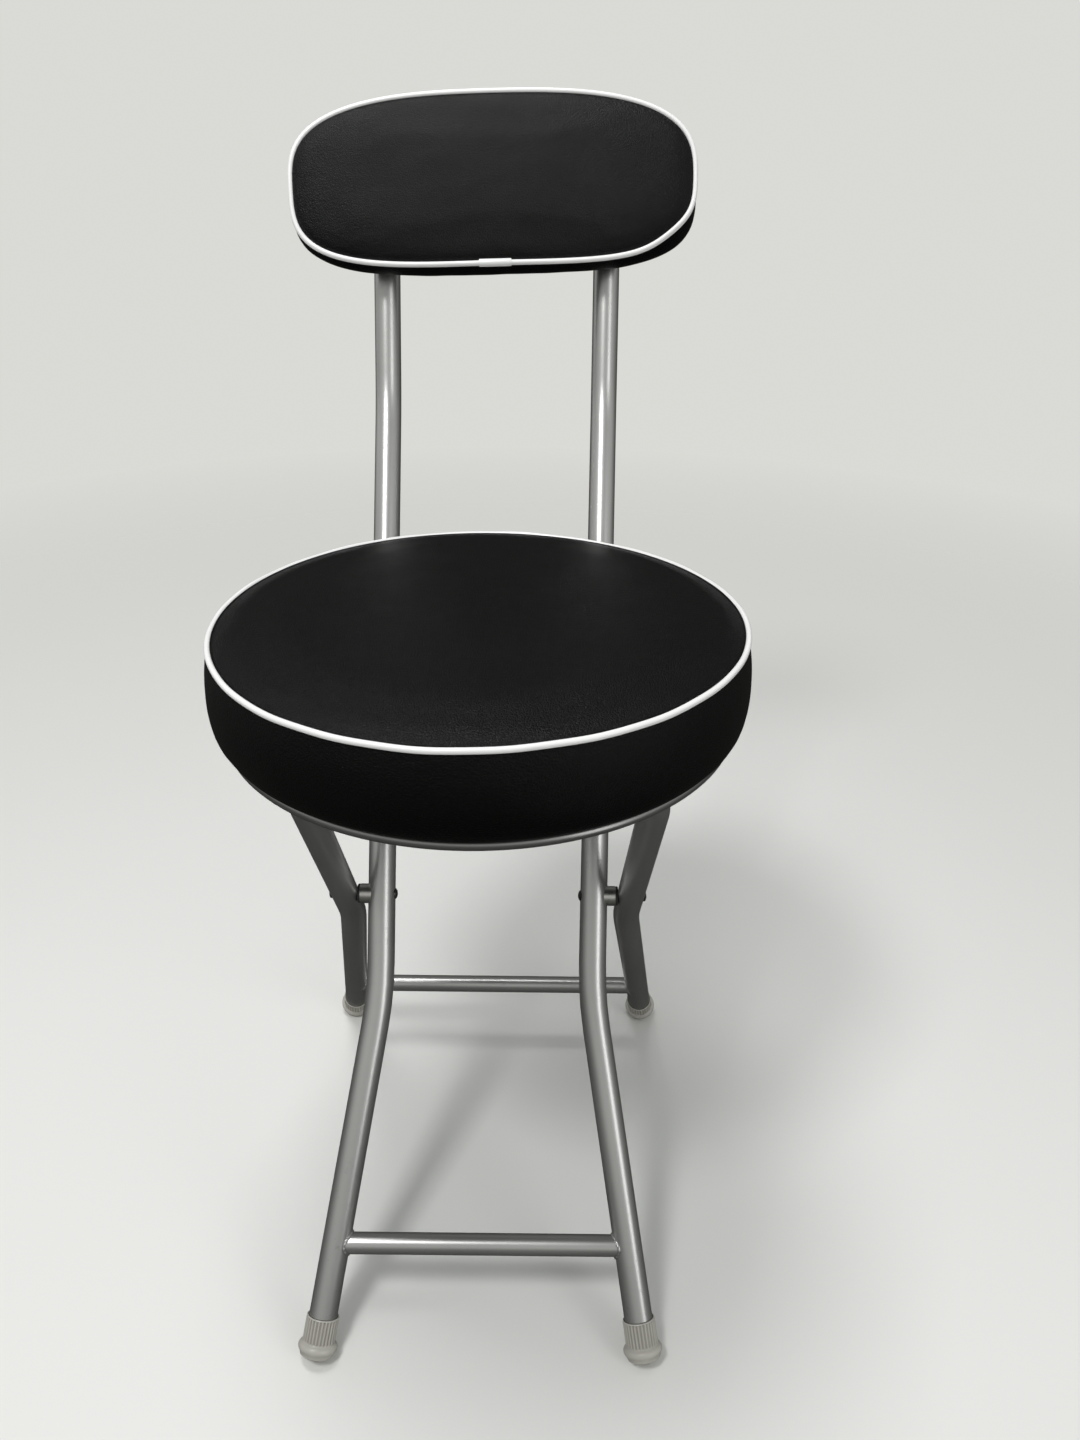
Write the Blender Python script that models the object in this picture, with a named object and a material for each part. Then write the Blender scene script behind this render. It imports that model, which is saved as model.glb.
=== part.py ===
"""Folding stool with a round padded seat and a padded backrest.

Two bent tube frames cross at a pair of pivot bolts. The front frame runs from the
front feet up to the backrest, and the rear frame from the rear feet up to the cross
bar that carries the front of the seat. Hook plates under the rear of the seat sit on
a rest bar of the front frame and lift off it when the stool folds.

Units are metres, +Z is up, -Y is the front, and the origin is on the floor in the
middle of the stool's depth. Below, chair coordinates have the seat level and centred
on Y = 0, and the floor passes their origin, falling towards the front by the rake.
"""

import math

import bmesh
import bpy
from mathutils import Matrix, Vector

# Clearances
GAP = 0.0003                # between pieces that touch
BOLT_PLAY = 0.0003          # round a bolt or a screw in its hole

# Tube stock
TUBE_D = 0.019
TUBE_WALL = 0.0012
STRETCHER_D = 0.014
STRETCHER_WALL = 0.001
REST_BAR_D = 0.012
REST_BAR_WALL = 0.001

SEAT_RAKE = math.radians(1.8)   # how far the seat falls towards the back

# Front frame: front legs, uprights and the bar behind the backrest
LEG_LEAN = math.radians(35.6)
BACK_LEAN = math.radians(19.5)
FRONT_FOOT_HALF = 0.1074
INNER_HALF_AT_PIVOT = 0.0745
INNER_HALF_AT_BEND = 0.080
SPLAY_HEIGHT = 0.193
PIVOT_HEIGHT = 0.249
BACK_BEND_HEIGHT = 0.543
BACK_REACH = 0.176          # from the back bend to the bar behind the backrest
SPLAY_RADIUS = 0.26
BACK_BEND_RADIUS = 0.14
BACK_CORNER_RADIUS = 0.038
FRONT_STRETCHER_HEIGHT = 0.0588

# Rear frame: rear legs and the cross bar under the front of the seat
REAR_LEAN = math.radians(31.0)
REAR_FOOT_HALF = 0.1292
REAR_HALF_AT_TOP = 0.1045
REAR_BEND_DROP = 0.030      # of the leg's bend below the pivot
REAR_BEND_RADIUS = 0.16
REAR_CORNER_RADIUS = 0.050
REAR_STRETCHER_HEIGHT = 0.0665

# Pivot
PIVOT_BOLT_D = 0.005
PIVOT_HEAD_D = 0.0078
PIVOT_HEAD_HEIGHT = 0.0017
PIVOT_NUT_D = 0.0072
SPACER_D = 0.0138
SPACER_LENGTH = 0.0050
WASHER_D = 0.0132
WASHER_THICKNESS = 0.0009

# Feet
FOOT_DOME_RADIUS = 0.018
FOOT_FLANGE_D = 0.0262
FOOT_FLANGE_HEIGHT = 0.0062
FOOT_FLANGE_SOFTEN = 0.0022
FOOT_COLLAR_WALL = 0.0011
FOOT_COLLAR_LENGTH = 0.0185
FOOT_SOLE_WEAR = 0.0005     # depth of the flat worn on the dome
FOOT_RIB_DEPTH = 0.0004
FOOT_RIBS = 14
FOOT_SEAT = FOOT_DOME_RADIUS * 0.45   # from the dome's centre down to the tube's end

# Seat
PAN_UNDERSIDE = 0.4188
PAN_SHEET = 0.0012
PAN_BEAD_D = 0.006
SEAT_D = 0.311              # over the piping
SEAT_BAND_HEIGHT = 0.0512   # from the cushion's lower edge to the piping's centre
SEAT_CROWN = 0.0075
SEAT_BULGE = 0.0002         # of the side band beyond the piping's centre line
SEAT_EDGE_INSET = 0.0045    # of the pan's rim inside the seat's outline
SEAT_BOARD_THICKNESS = 0.009
SEAT_BOARD_INSET = 0.0085
UPRIGHT_CLEARANCE = 0.0035  # between the seat's lower edge and the uprights
PIPING_D = 0.004
REST_BAR_DROP = 0.0295      # of the rest bar's centre below the pan

# Seat brackets
CLAMP_SHEET = 0.002
CLAMP_WIDTH = 0.018
CLAMP_HALF_SPACING = 0.040
CLAMP_EAR = 0.014
HOOK_SHEET = 0.0025
HOOK_HALF_SPACING = 0.050
HOOK_FLANGE = 0.018
HOOK_LENGTH = 0.046
HOOK_BEAD_CLEARANCE = 0.002
SEAT_TURN_PER_FOLD = 0.93   # the seat's own turn for each degree that the rear frame folds
HOOK_LIP = 0.0065           # wall of the hook plate round the rest bar
SEAT_SCREW_D = 0.004
SEAT_SCREW_HEAD_D = 0.0078
SEAT_SCREW_HEAD_HEIGHT = 0.0022
SEAT_SCREW_BITE = 0.0065    # length of a screw inside the seat board

# Backrest
PAD_WIDTH = 0.2826
PAD_HEIGHT = 0.1142
PAD_BOW = 0.0050            # how much more the top edge arches than the lower one
PAD_SQUARENESS = 3.2        # exponent of the outline's superellipse
PAD_RISE = 0.1452           # from the back bend to the pad's centre, along the tube
PAD_THICKNESS = 0.0290
PAD_CROWN = 0.0050
PAD_TURN = math.radians(2.1)  # the pad hangs slightly askew
PAD_SHIFT = -0.0015         # and a little to one side
PAD_BOARD_THICKNESS = 0.008
PAD_BOARD_INSET = 0.0075
BACK_SCREW_D = 0.005
BACK_SCREW_HEAD_D = 0.0092
BACK_SCREW_HEAD_HEIGHT = 0.0030
BACK_SCREW_BITE = 0.0055
BACK_SCREW_RISE = 0.112     # of the lower pair above the back bend, on the uprights
TOP_SCREW_HALF_SPACING = 0.031  # of the upper pair, on the bar behind the backrest
SADDLE_WASHER_D = 0.0125
SADDLE_WASHER_HEIGHT = 0.0022
SLEEVE_LENGTH = 0.0226
SLEEVE_WALL = 0.0008

# Facets
TUBE_SIDES = 16
BAR_SIDES = 14
SMALL_SIDES = 10
WASHER_SIDES = 14
SEAT_SIDES = 44
PAD_SIDES = 44
PIPING_SIDES = 8

# Places worked out from the sizes above

TUBE_R = TUBE_D / 2
PIPING_R = PIPING_D / 2
FOOT_HEIGHT = FOOT_DOME_RADIUS - FOOT_SOLE_WEAR

PIPING_RING_R = SEAT_D / 2 - PIPING_R
CUSHION_BASE = PAN_UNDERSIDE + PAN_SHEET + GAP
PIPING_HEIGHT = CUSHION_BASE + SEAT_BAND_HEIGHT


def inner_half(z):
    """Half the spacing of the front frame's tubes above the splay bend."""
    slope = (INNER_HALF_AT_BEND - INNER_HALF_AT_PIVOT) / (BACK_BEND_HEIGHT - PIVOT_HEIGHT)
    return INNER_HALF_AT_PIVOT + slope * (z - PIVOT_HEIGHT)


# The uprights stand just behind the seat's lower edge, and this sets the front frame.
EDGE_HALF_CHORD = inner_half(CUSHION_BASE) - TUBE_R
EDGE_BACK = math.sqrt(PIPING_RING_R ** 2 - EDGE_HALF_CHORD ** 2)
UPRIGHT_Y = EDGE_BACK + UPRIGHT_CLEARANCE + TUBE_R / math.cos(LEG_LEAN)


def front_y(z):
    """Depth of the front frame's centre line, below the back bend."""
    return UPRIGHT_Y + (z - CUSHION_BASE) * math.tan(LEG_LEAN)


PIVOT_Y = front_y(PIVOT_HEIGHT)
REAR_HALF_AT_PIVOT = (INNER_HALF_AT_PIVOT + TUBE_D + SPACER_LENGTH + WASHER_THICKNESS + 3 * GAP)


def rear_y(z):
    """Depth of the rear frame, which is flat and passes through the pivot."""
    return PIVOT_Y - (z - PIVOT_HEIGHT) * math.tan(REAR_LEAN)


def foot_height(line_y, slope):
    """Height at which a leg's line passes the foot's centre, above the raked floor."""
    rise = FOOT_HEIGHT + line_y(0.0) * math.sin(SEAT_RAKE)
    return rise / (math.cos(SEAT_RAKE) - slope * math.sin(SEAT_RAKE))


FRONT_FOOT_Z = foot_height(front_y, math.tan(LEG_LEAN))
REAR_FOOT_Z = foot_height(rear_y, -math.tan(REAR_LEAN))

CROSS_BAR_Z = PAN_UNDERSIDE - GAP - TUBE_R
CROSS_BAR_Y = rear_y(CROSS_BAR_Z)
REST_BAR_Z = PAN_UNDERSIDE - REST_BAR_DROP
REST_BAR_Y = front_y(REST_BAR_Z)

# The hooks' rear end under the pan, behind the rest bar's centre and inside the bead
PAN_INSIDE_R = SEAT_D / 2 - SEAT_EDGE_INSET - PAN_BEAD_D
HOOK_ROOM = math.sqrt(PAN_INSIDE_R ** 2 - (HOOK_HALF_SPACING + HOOK_SHEET) ** 2)
HOOK_REAR = HOOK_ROOM - HOOK_BEAD_CLEARANCE - REST_BAR_Y

BACK_AXIS = Vector((0, math.sin(BACK_LEAN), math.cos(BACK_LEAN)))
BACK_NORMAL = Vector((0, -math.cos(BACK_LEAN), math.sin(BACK_LEAN)))
BACK_BEND = Vector((0, front_y(BACK_BEND_HEIGHT), BACK_BEND_HEIGHT))
PAD_REAR = TUBE_R + GAP
PAD_FRONT = PAD_REAR + PAD_THICKNESS

BACK_TOP = BACK_BEND + BACK_AXIS * BACK_REACH


# Scene, materials and meshes

def clear_scene():
    for obj in list(bpy.data.objects):
        bpy.data.objects.remove(obj, do_unlink=True)


def make_material(name, colour, roughness, metallic=0.0):
    material = bpy.data.materials.new(name)
    material.use_nodes = True
    shader = material.node_tree.nodes["Principled BSDF"]
    shader.inputs["Base Color"].default_value = (*colour, 1.0)
    shader.inputs["Roughness"].default_value = roughness
    shader.inputs["Metallic"].default_value = metallic
    return material


def make_empty(name, parent, at):
    """An empty at a point of chair coordinates, under another empty."""
    empty = bpy.data.objects.new(name, None)
    bpy.context.scene.collection.objects.link(empty)
    empty["at"] = tuple(at)
    empty.parent = parent
    empty.location = Vector(at) - (Vector(parent["at"]) if parent else Vector())
    return empty


def make_piece(name, bm, finish, parent, at=(0, 0, 0), turn=None, smooth=40):
    """An object from a bmesh, placed at a point of chair coordinates."""
    colour, roughness, metallic = finish
    bmesh.ops.recalc_face_normals(bm, faces=bm.faces)
    mesh = bpy.data.meshes.new(name)
    bm.to_mesh(mesh)
    bm.free()
    mesh.shade_smooth()
    mesh.set_sharp_from_angle(angle=math.radians(smooth))
    mesh.materials.append(make_material(name, colour, roughness, metallic))
    obj = bpy.data.objects.new(name, mesh)
    bpy.context.scene.collection.objects.link(obj)
    place(obj, parent, at, turn)
    return obj


def place(obj, parent, at, turn=None):
    obj.parent = parent
    obj.location = Vector(at) - Vector(parent["at"])
    if turn is not None:
        obj.rotation_euler = turn.to_euler()


def make_cutter(name, bm, parent, at=(0, 0, 0), turn=None):
    """A solid that only cuts others."""
    cutter = make_piece(name, bm, FINISH_STEEL, parent, at, turn)
    cutter.hide_render = True
    cutter.display_type = "WIRE"
    return cutter


def cut(obj, cutter):
    modifier = obj.modifiers.new("cut " + cutter.name, "BOOLEAN")
    modifier.operation = "DIFFERENCE"
    modifier.solver = "EXACT"
    modifier.object = cutter


def skin(rings, wrap=False):
    """A closed mesh over rings of points; a ring of one point closes an end."""
    bm = bmesh.new()
    loops = [[bm.verts.new(point) for point in ring] for ring in rings]
    pairs = list(zip(loops, loops[1:]))
    if wrap:
        pairs.append((loops[-1], loops[0]))
    for low, high in pairs:
        count = max(len(low), len(high))
        for k in range(count):
            n = (k + 1) % count
            corners = [low[k % len(low)], low[n % len(low)], high[n % len(high)], high[k % len(high)]]
            unique = []
            for corner in corners:
                if corner not in unique:
                    unique.append(corner)
            bm.faces.new(unique)
    if not wrap:
        for loop in (loops[0], loops[-1]):
            if len(loop) > 1:
                bm.faces.new(loop)
    return bm


def circle(radius, sides, z=0.0):
    if radius < 1e-6:
        return [Vector((0, 0, z))]
    steps = [2 * math.pi * k / sides for k in range(sides)]
    return [Vector((radius * math.cos(a), radius * math.sin(a), z)) for a in steps]


def revolve(profile, sides, wrap=False):
    """A turned solid about Z from (radius, height) points."""
    return skin([circle(radius, sides, z) for radius, z in profile], wrap)


def arc(centre, radius, start, end, steps):
    """Points of an arc in a plane, angles in degrees."""
    points = []
    for k in range(steps + 1):
        angle = math.radians(start + (end - start) * k / steps)
        points.append((centre[0] + radius * math.cos(angle), centre[1] + radius * math.sin(angle)))
    return points


def prism(outline, depth):
    """An outline in the YZ plane, extruded along X about its middle."""
    rings = [[Vector((x, y, z)) for y, z in outline] for x in (-depth / 2, depth / 2)]
    return skin(rings)


def rounded_path(corners, radii, arc_step=math.radians(10)):
    """A path through corners, with a round bend of the given radius at each inner one."""
    path = [corners[0]]
    for k in range(1, len(corners) - 1):
        back = (corners[k - 1] - corners[k]).normalized()
        ahead = (corners[k + 1] - corners[k]).normalized()
        turn = math.pi - back.angle(ahead)
        inset = radii[k - 1] * math.tan(turn / 2)
        start = corners[k] + back * inset
        across = (back + ahead).normalized()
        centre = corners[k] + across * (radii[k - 1] / math.cos(turn / 2))
        spoke = start - centre
        axis = spoke.cross(corners[k] + ahead * inset - centre).normalized()
        steps = max(2, round(turn / arc_step))
        for j in range(steps + 1):
            path.append(centre + Matrix.Rotation(turn * j / steps, 3, axis) @ spoke)
    path.append(corners[-1])
    return path


def sweep_rings(path, radius, sides):
    """Circles square to a path, carried along it without twist."""
    rings = []
    side = None
    for k, point in enumerate(path):
        before = path[max(k - 1, 0)]
        after = path[min(k + 1, len(path) - 1)]
        ahead = (after - before).normalized()
        if side is None:
            side = ahead.orthogonal().normalized()
        side = (side - ahead * side.dot(ahead)).normalized()
        up = ahead.cross(side)
        ring = []
        for j in range(sides):
            angle = 2 * math.pi * j / sides
            ring.append(point + (side * math.cos(angle) + up * math.sin(angle)) * radius)
        rings.append(ring)
    return rings


def tube(path, outer_d, wall, sides):
    """A pipe with open ends along a path."""
    outer = sweep_rings(path, outer_d / 2, sides)
    inner = sweep_rings(path, outer_d / 2 - wall, sides)
    return skin(outer + inner[::-1], wrap=True)


def rod(start, end, radius, sides):
    return skin(sweep_rings([start, end], radius, sides))


def mirror_x(point):
    return Vector((-point.x, point.y, point.z))


def along(direction):
    """The turn that carries +Z onto a direction."""
    return Vector((0, 0, 1)).rotation_difference(direction).to_matrix()


# Finishes: colour, roughness, metallic

FINISH_SILVER = ((0.46, 0.46, 0.44), 0.34, 0.85)
FINISH_STEEL = ((0.55, 0.55, 0.53), 0.30, 1.0)
FINISH_DARK_STEEL = ((0.07, 0.07, 0.07), 0.38, 0.9)
FINISH_BLACK_PLASTIC = ((0.03, 0.03, 0.03), 0.5, 0.0)
FINISH_FOOT = ((0.56, 0.54, 0.48), 0.42, 0.0)
FINISH_VINYL = ((0.022, 0.022, 0.023), 0.42, 0.0)
FINISH_PIPING = ((0.82, 0.82, 0.80), 0.32, 0.0)
FINISH_BOARD = ((0.45, 0.30, 0.17), 0.7, 0.0)


# Frame lines in chair coordinates, left side; the right side mirrors them

def front_frame_corners():
    splay = Vector((-inner_half(SPLAY_HEIGHT), front_y(SPLAY_HEIGHT), SPLAY_HEIGHT))
    foot = Vector((-FRONT_FOOT_HALF, front_y(FRONT_FOOT_Z), FRONT_FOOT_Z))
    bend = Vector((-INNER_HALF_AT_BEND, BACK_BEND.y, BACK_BEND_HEIGHT))
    top = Vector((-INNER_HALF_AT_BEND, BACK_TOP.y, BACK_TOP.z))
    return foot, splay, bend, top


def rear_frame_corners():
    """Foot, bend below the pivot and top corner; the upper leg passes the pivot."""
    rise = CROSS_BAR_Z - PIVOT_HEIGHT
    flare = (REAR_HALF_AT_TOP - REAR_HALF_AT_PIVOT) / rise
    bend_z = PIVOT_HEIGHT - REAR_BEND_DROP
    bend_half = REAR_HALF_AT_PIVOT - flare * REAR_BEND_DROP
    foot = Vector((-REAR_FOOT_HALF, rear_y(REAR_FOOT_Z), REAR_FOOT_Z))
    bend = Vector((-bend_half, rear_y(bend_z), bend_z))
    top = Vector((-REAR_HALF_AT_TOP, CROSS_BAR_Y, CROSS_BAR_Z))
    return foot, bend, top


def frame_path(corners, radii):
    """The whole bent tube: up the left side, across and down the right side."""
    foot, knee = corners[0], corners[1]
    start = foot + (foot - knee).normalized() * (FOOT_SEAT - GAP)
    left = [start] + list(corners[1:])
    right = [mirror_x(point) for point in left[::-1]]
    return rounded_path(left + right, radii + radii[::-1])


def make_frame_tube(name, corners, radii, parent, at):
    path = [point - Vector(at) for point in frame_path(corners, radii)]
    return make_piece(name, tube(path, TUBE_D, TUBE_WALL, TUBE_SIDES), FINISH_SILVER, parent, at)


def make_crossbar(name, half_x, y, z, outer_d, wall, parent, at, leg_ends):
    """A straight tube between two legs, with its ends cut to sit on them."""
    ends = [Vector((side * half_x, y, z)) - Vector(at) for side in (-1, 1)]
    bar = make_piece(name, tube(ends, outer_d, wall, BAR_SIDES), FINISH_SILVER, parent, at)
    for side in (-1, 1):
        low, high = [Vector((side * abs(p.x), p.y, p.z)) for p in leg_ends]
        reach = (high - low).normalized() * 0.03
        saddle = rod(low - reach - Vector(at), high + reach - Vector(at), TUBE_R + GAP, TUBE_SIDES * 2)
        label = name + (" left saddle" if side < 0 else " right saddle")
        cut(bar, make_cutter(label.replace(" ", "_"), saddle, parent, at))
    return bar


# Feet

def foot_cap():
    """A ribbed cap on a tube end; +Z runs up the leg, with the dome's centre at zero."""
    flange_r = FOOT_FLANGE_D / 2
    rim = -math.sqrt(FOOT_DOME_RADIUS ** 2 - flange_r ** 2)
    bore = TUBE_R + GAP
    collar = bore + FOOT_COLLAR_WALL
    collar_top = -FOOT_SEAT + FOOT_COLLAR_LENGTH
    shoulder = rim + FOOT_FLANGE_HEIGHT
    soften = FOOT_FLANGE_SOFTEN
    dome = []
    for share in (0.0, 0.36, 0.68):
        angle = share * math.asin(flange_r / FOOT_DOME_RADIUS)
        dome.append((FOOT_DOME_RADIUS * math.sin(angle), -FOOT_DOME_RADIUS * math.cos(angle)))
    plain = dome + [
        (flange_r - soften * 0.5, rim - soften * 0.2),
        (flange_r, rim + soften * 0.9),
        (flange_r - soften * 0.3, shoulder - soften * 0.6),
        (collar + 0.0003, shoulder),
    ]
    ribbed = [(collar, shoulder + 0.0004), (collar, collar_top - 0.0015)]
    lip = [(collar - 0.0003, collar_top), (bore, collar_top), (bore, -FOOT_SEAT), (0.0, -FOOT_SEAT)]
    sides = FOOT_RIBS * 2
    rings = [circle(r, sides, z) for r, z in plain]
    for r, z in ribbed:
        ring = circle(r, sides, z)
        inner = circle(r - FOOT_RIB_DEPTH, sides, z)
        rings.append([ring[k] if k % 2 else inner[k] for k in range(sides)])
    rings += [circle(r, sides, z) for r, z in lip]
    return skin(rings)


def make_foot(name, foot, knee, parent, floor):
    direction = (knee - foot).normalized()
    cap = make_piece(name, foot_cap(), FINISH_FOOT, parent, foot, along(direction), smooth=32)
    cut(cap, floor)
    return cap


# Fasteners

def screw(head_d, head_height, shank_d, length, tip=0.0015):
    """A round-headed screw: the head is below zero and the shank runs up +Z."""
    head_r = head_d / 2
    shank_r = shank_d / 2
    profile = [
        (0.0, -head_height),
        (head_r * 0.55, -head_height * 0.92),
        (head_r * 0.88, -head_height * 0.6),
        (head_r, -head_height * 0.12),
        (head_r, 0.0),
        (shank_r, 0.0),
        (shank_r, length - tip),
        (shank_r * 0.55, length),
        (0.0, length),
    ]
    return revolve(profile, SMALL_SIDES)


def ring(inner_d, outer_d, height, sides=WASHER_SIDES):
    """A flat washer or bush, from zero up +Z, with softened outer edges."""
    soften = min(0.0004, height / 4)
    outer = outer_d / 2
    profile = [
        (inner_d / 2, 0.0),
        (outer - soften, 0.0),
        (outer, soften),
        (outer, height - soften),
        (outer - soften, height),
        (inner_d / 2, height),
    ]
    return revolve(profile, sides, wrap=True)


def make_pivot(side, label, parent):
    """Bolt, spacer, washer and domed nut of one side, on the pivot's axis."""
    outward = along(Vector((side, 0, 0)))
    start = INNER_HALF_AT_PIVOT - TUBE_R - GAP
    spacer_at = INNER_HALF_AT_PIVOT + TUBE_R + GAP
    washer_at = spacer_at + SPACER_LENGTH + GAP
    nut_at = REAR_HALF_AT_PIVOT + TUBE_R + GAP
    hole = PIVOT_BOLT_D + 2 * BOLT_PLAY
    nut_height = PIVOT_HEAD_HEIGHT
    bolt = screw(PIVOT_HEAD_D, PIVOT_HEAD_HEIGHT, PIVOT_BOLT_D, nut_at - start + nut_height * 0.55, tip=0.0005)
    pieces = (
        ("pivot_bolt_", bolt, FINISH_DARK_STEEL, start),
        ("pivot_spacer_", ring(hole, SPACER_D, SPACER_LENGTH), FINISH_STEEL, spacer_at),
        ("pivot_washer_", ring(hole, WASHER_D, WASHER_THICKNESS), FINISH_BLACK_PLASTIC, washer_at),
        ("pivot_nut_", dome_nut(hole, PIVOT_NUT_D, nut_height), FINISH_DARK_STEEL, nut_at),
    )
    for name, bm, finish, x in pieces:
        make_piece(name + label, bm, finish, parent, (side * x, PIVOT_Y, PIVOT_HEIGHT), outward)
    reach = 0.004
    hole_x = (start - reach, nut_at + reach)
    bore = rod(Vector((side * hole_x[0], 0, 0)), Vector((side * hole_x[1], 0, 0)), hole / 2, SMALL_SIDES)
    return make_cutter("pivot_bore_" + label, bore, parent, (0, PIVOT_Y, PIVOT_HEIGHT))


def dome_nut(bore_d, outer_d, height):
    """A round cap nut whose blind bore takes the bolt's end."""
    outer = outer_d / 2
    bore_end = height * 0.7
    profile = [
        (0.0, bore_end),
        (bore_d / 2, bore_end),
        (bore_d / 2, 0.0),
        (outer, 0.0),
        (outer, height * 0.35),
        (outer * 0.8, height * 0.78),
        (outer * 0.4, height * 0.97),
        (0.0, height),
    ]
    return revolve(profile, SMALL_SIDES)


# Seat

def piping_groove(centre_r, height, across, up):
    """Points of a cushion's edge that stay clear of its piping, from the top down."""
    clear = PIPING_R + GAP
    points = []
    for angle in (160, 200, 240, 278):
        a = math.radians(angle)
        points.append((centre_r + across * clear * math.cos(a), height + up * clear * math.sin(a)))
    return points


def seat_cushion_profile():
    centre = PIPING_RING_R
    crown_edge = PIPING_HEIGHT + PIPING_R * 0.5
    points = [(0.0, PIPING_HEIGHT + SEAT_CROWN)]
    for share in (0.35, 0.6, 0.78, 0.88, 0.94, 0.975):
        fall = 0.2 * share ** 2 + 0.8 * share ** 14
        points.append(((centre - PIPING_R) * share, PIPING_HEIGHT + SEAT_CROWN * (1 - fall)))
    points.append((centre - PIPING_R * 1.6, crown_edge))
    points += piping_groove(centre, PIPING_HEIGHT, 1, 1)
    band = SEAT_BAND_HEIGHT
    wall = centre + SEAT_BULGE
    points += [
        (wall - 0.0001, PIPING_HEIGHT - band * 0.10),
        (wall, PIPING_HEIGHT - band * 0.30),
        (wall - 0.0004, PIPING_HEIGHT - band * 0.58),
        (wall - 0.0011, PIPING_HEIGHT - band * 0.80),
        (wall - 0.0022, PIPING_HEIGHT - band * 0.92),
        (wall - 0.0044, CUSHION_BASE),
    ]
    board_r = SEAT_D / 2 - SEAT_BOARD_INSET + GAP
    ceiling = CUSHION_BASE + SEAT_BOARD_THICKNESS + GAP
    points += [(board_r, CUSHION_BASE), (board_r, ceiling), (0.0, ceiling)]
    return points


def pan_profile():
    """A pressed disc whose edge is rolled down into a bead."""
    top = PAN_UNDERSIDE + PAN_SHEET
    bead_r = PAN_BEAD_D / 2
    rim_r = SEAT_D / 2 - SEAT_EDGE_INSET
    centre = (rim_r - bead_r, top - bead_r)
    outside = arc(centre, bead_r, 90, -120, 5)
    inside = arc(centre, bead_r - PAN_SHEET, -120, 90, 5)
    return [(0.0, top)] + outside + inside + [(0.0, PAN_UNDERSIDE)]


def make_seat(parent):
    pan = make_piece("seat_pan", revolve(pan_profile(), SEAT_SIDES), FINISH_SILVER, parent)
    board_r = SEAT_D / 2 - SEAT_BOARD_INSET
    board_low = CUSHION_BASE
    board_high = board_low + SEAT_BOARD_THICKNESS
    edge = 0.0008
    board_profile = [
        (0.0, board_low), (board_r, board_low), (board_r, board_high - edge),
        (board_r - edge, board_high), (0.0, board_high)]
    board = make_piece("seat_board", revolve(board_profile, SEAT_SIDES), FINISH_BOARD, parent)
    make_piece("seat_cushion", revolve(seat_cushion_profile(), SEAT_SIDES), FINISH_VINYL, parent)
    section = [(PIPING_RING_R + x, PIPING_HEIGHT + z) for x, z in arc((0, 0), PIPING_R, 0, 315, 7)]
    make_piece("seat_piping", revolve(section, SEAT_SIDES, wrap=True), FINISH_PIPING, parent)
    return pan, board


def clamp_outline():
    """Side view of a strap round the cross bar, with an ear on each side under the pan."""
    inner = TUBE_R + GAP
    outer = inner + CLAMP_SHEET
    ear_top = PAN_UNDERSIDE - GAP - CROSS_BAR_Z
    ear_low = ear_top - CLAMP_SHEET
    reach = outer + CLAMP_EAR
    under = arc((0, 0), outer, 180, 360, 10)
    bore = arc((0, 0), inner, 360, 180, 10)
    return ([(-reach, ear_top), (-reach, ear_low), (-outer, ear_low)] + under
            + [(outer, ear_low), (reach, ear_low), (reach, ear_top), (inner, ear_top)] + bore
            + [(-inner, ear_top)])


def hook_outline():
    """Side view of a hook plate, about the rest bar's centre.

    Its mouth opens along the way that the bar leaves it as the stool folds.
    """
    top = PAN_UNDERSIDE - GAP - REST_BAR_Z
    mouth_r = REST_BAR_D / 2 + GAP
    outer = mouth_r + HOOK_LIP
    heading = leaving_angle()
    back = arc((0, 0), outer, 0, heading + 90, 5)
    mouth = arc((0, 0), mouth_r, heading + 90, heading + 270, 10)
    out = (math.cos(math.radians(heading)), math.sin(math.radians(heading)))
    rear_tip = (back[-1][0] + out[0] * mouth_r, back[-1][1] + out[1] * mouth_r)
    rear_in = (mouth[0][0] + out[0] * mouth_r, mouth[0][1] + out[1] * mouth_r)
    front_in = (mouth[-1][0] + out[0] * HOOK_LIP / 2, mouth[-1][1] + out[1] * HOOK_LIP / 2)
    front_low = (front_in[0] - HOOK_LIP, front_in[1] + HOOK_LIP / 2)
    front = HOOK_REAR - HOOK_LENGTH
    return ([(HOOK_REAR, top), (front, top), (front, top - HOOK_SHEET), front_low, front_in]
            + mouth[::-1] + [rear_in, rear_tip] + back[::-1] + [(outer, outer)])


def leaving_angle():
    """Way, in degrees from +Y, that the rest bar leaves the hooks in the seat's frame."""
    arm_y = CROSS_BAR_Y - PIVOT_Y
    arm_z = CROSS_BAR_Z - PIVOT_HEIGHT
    seat_y = REST_BAR_Y - CROSS_BAR_Y
    seat_z = REST_BAR_Z - CROSS_BAR_Z
    lift = SEAT_TURN_PER_FOLD
    hook_y = arm_z - lift * seat_z
    hook_z = -arm_y + lift * seat_y
    return math.degrees(math.atan2(-hook_z, -hook_y))


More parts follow.
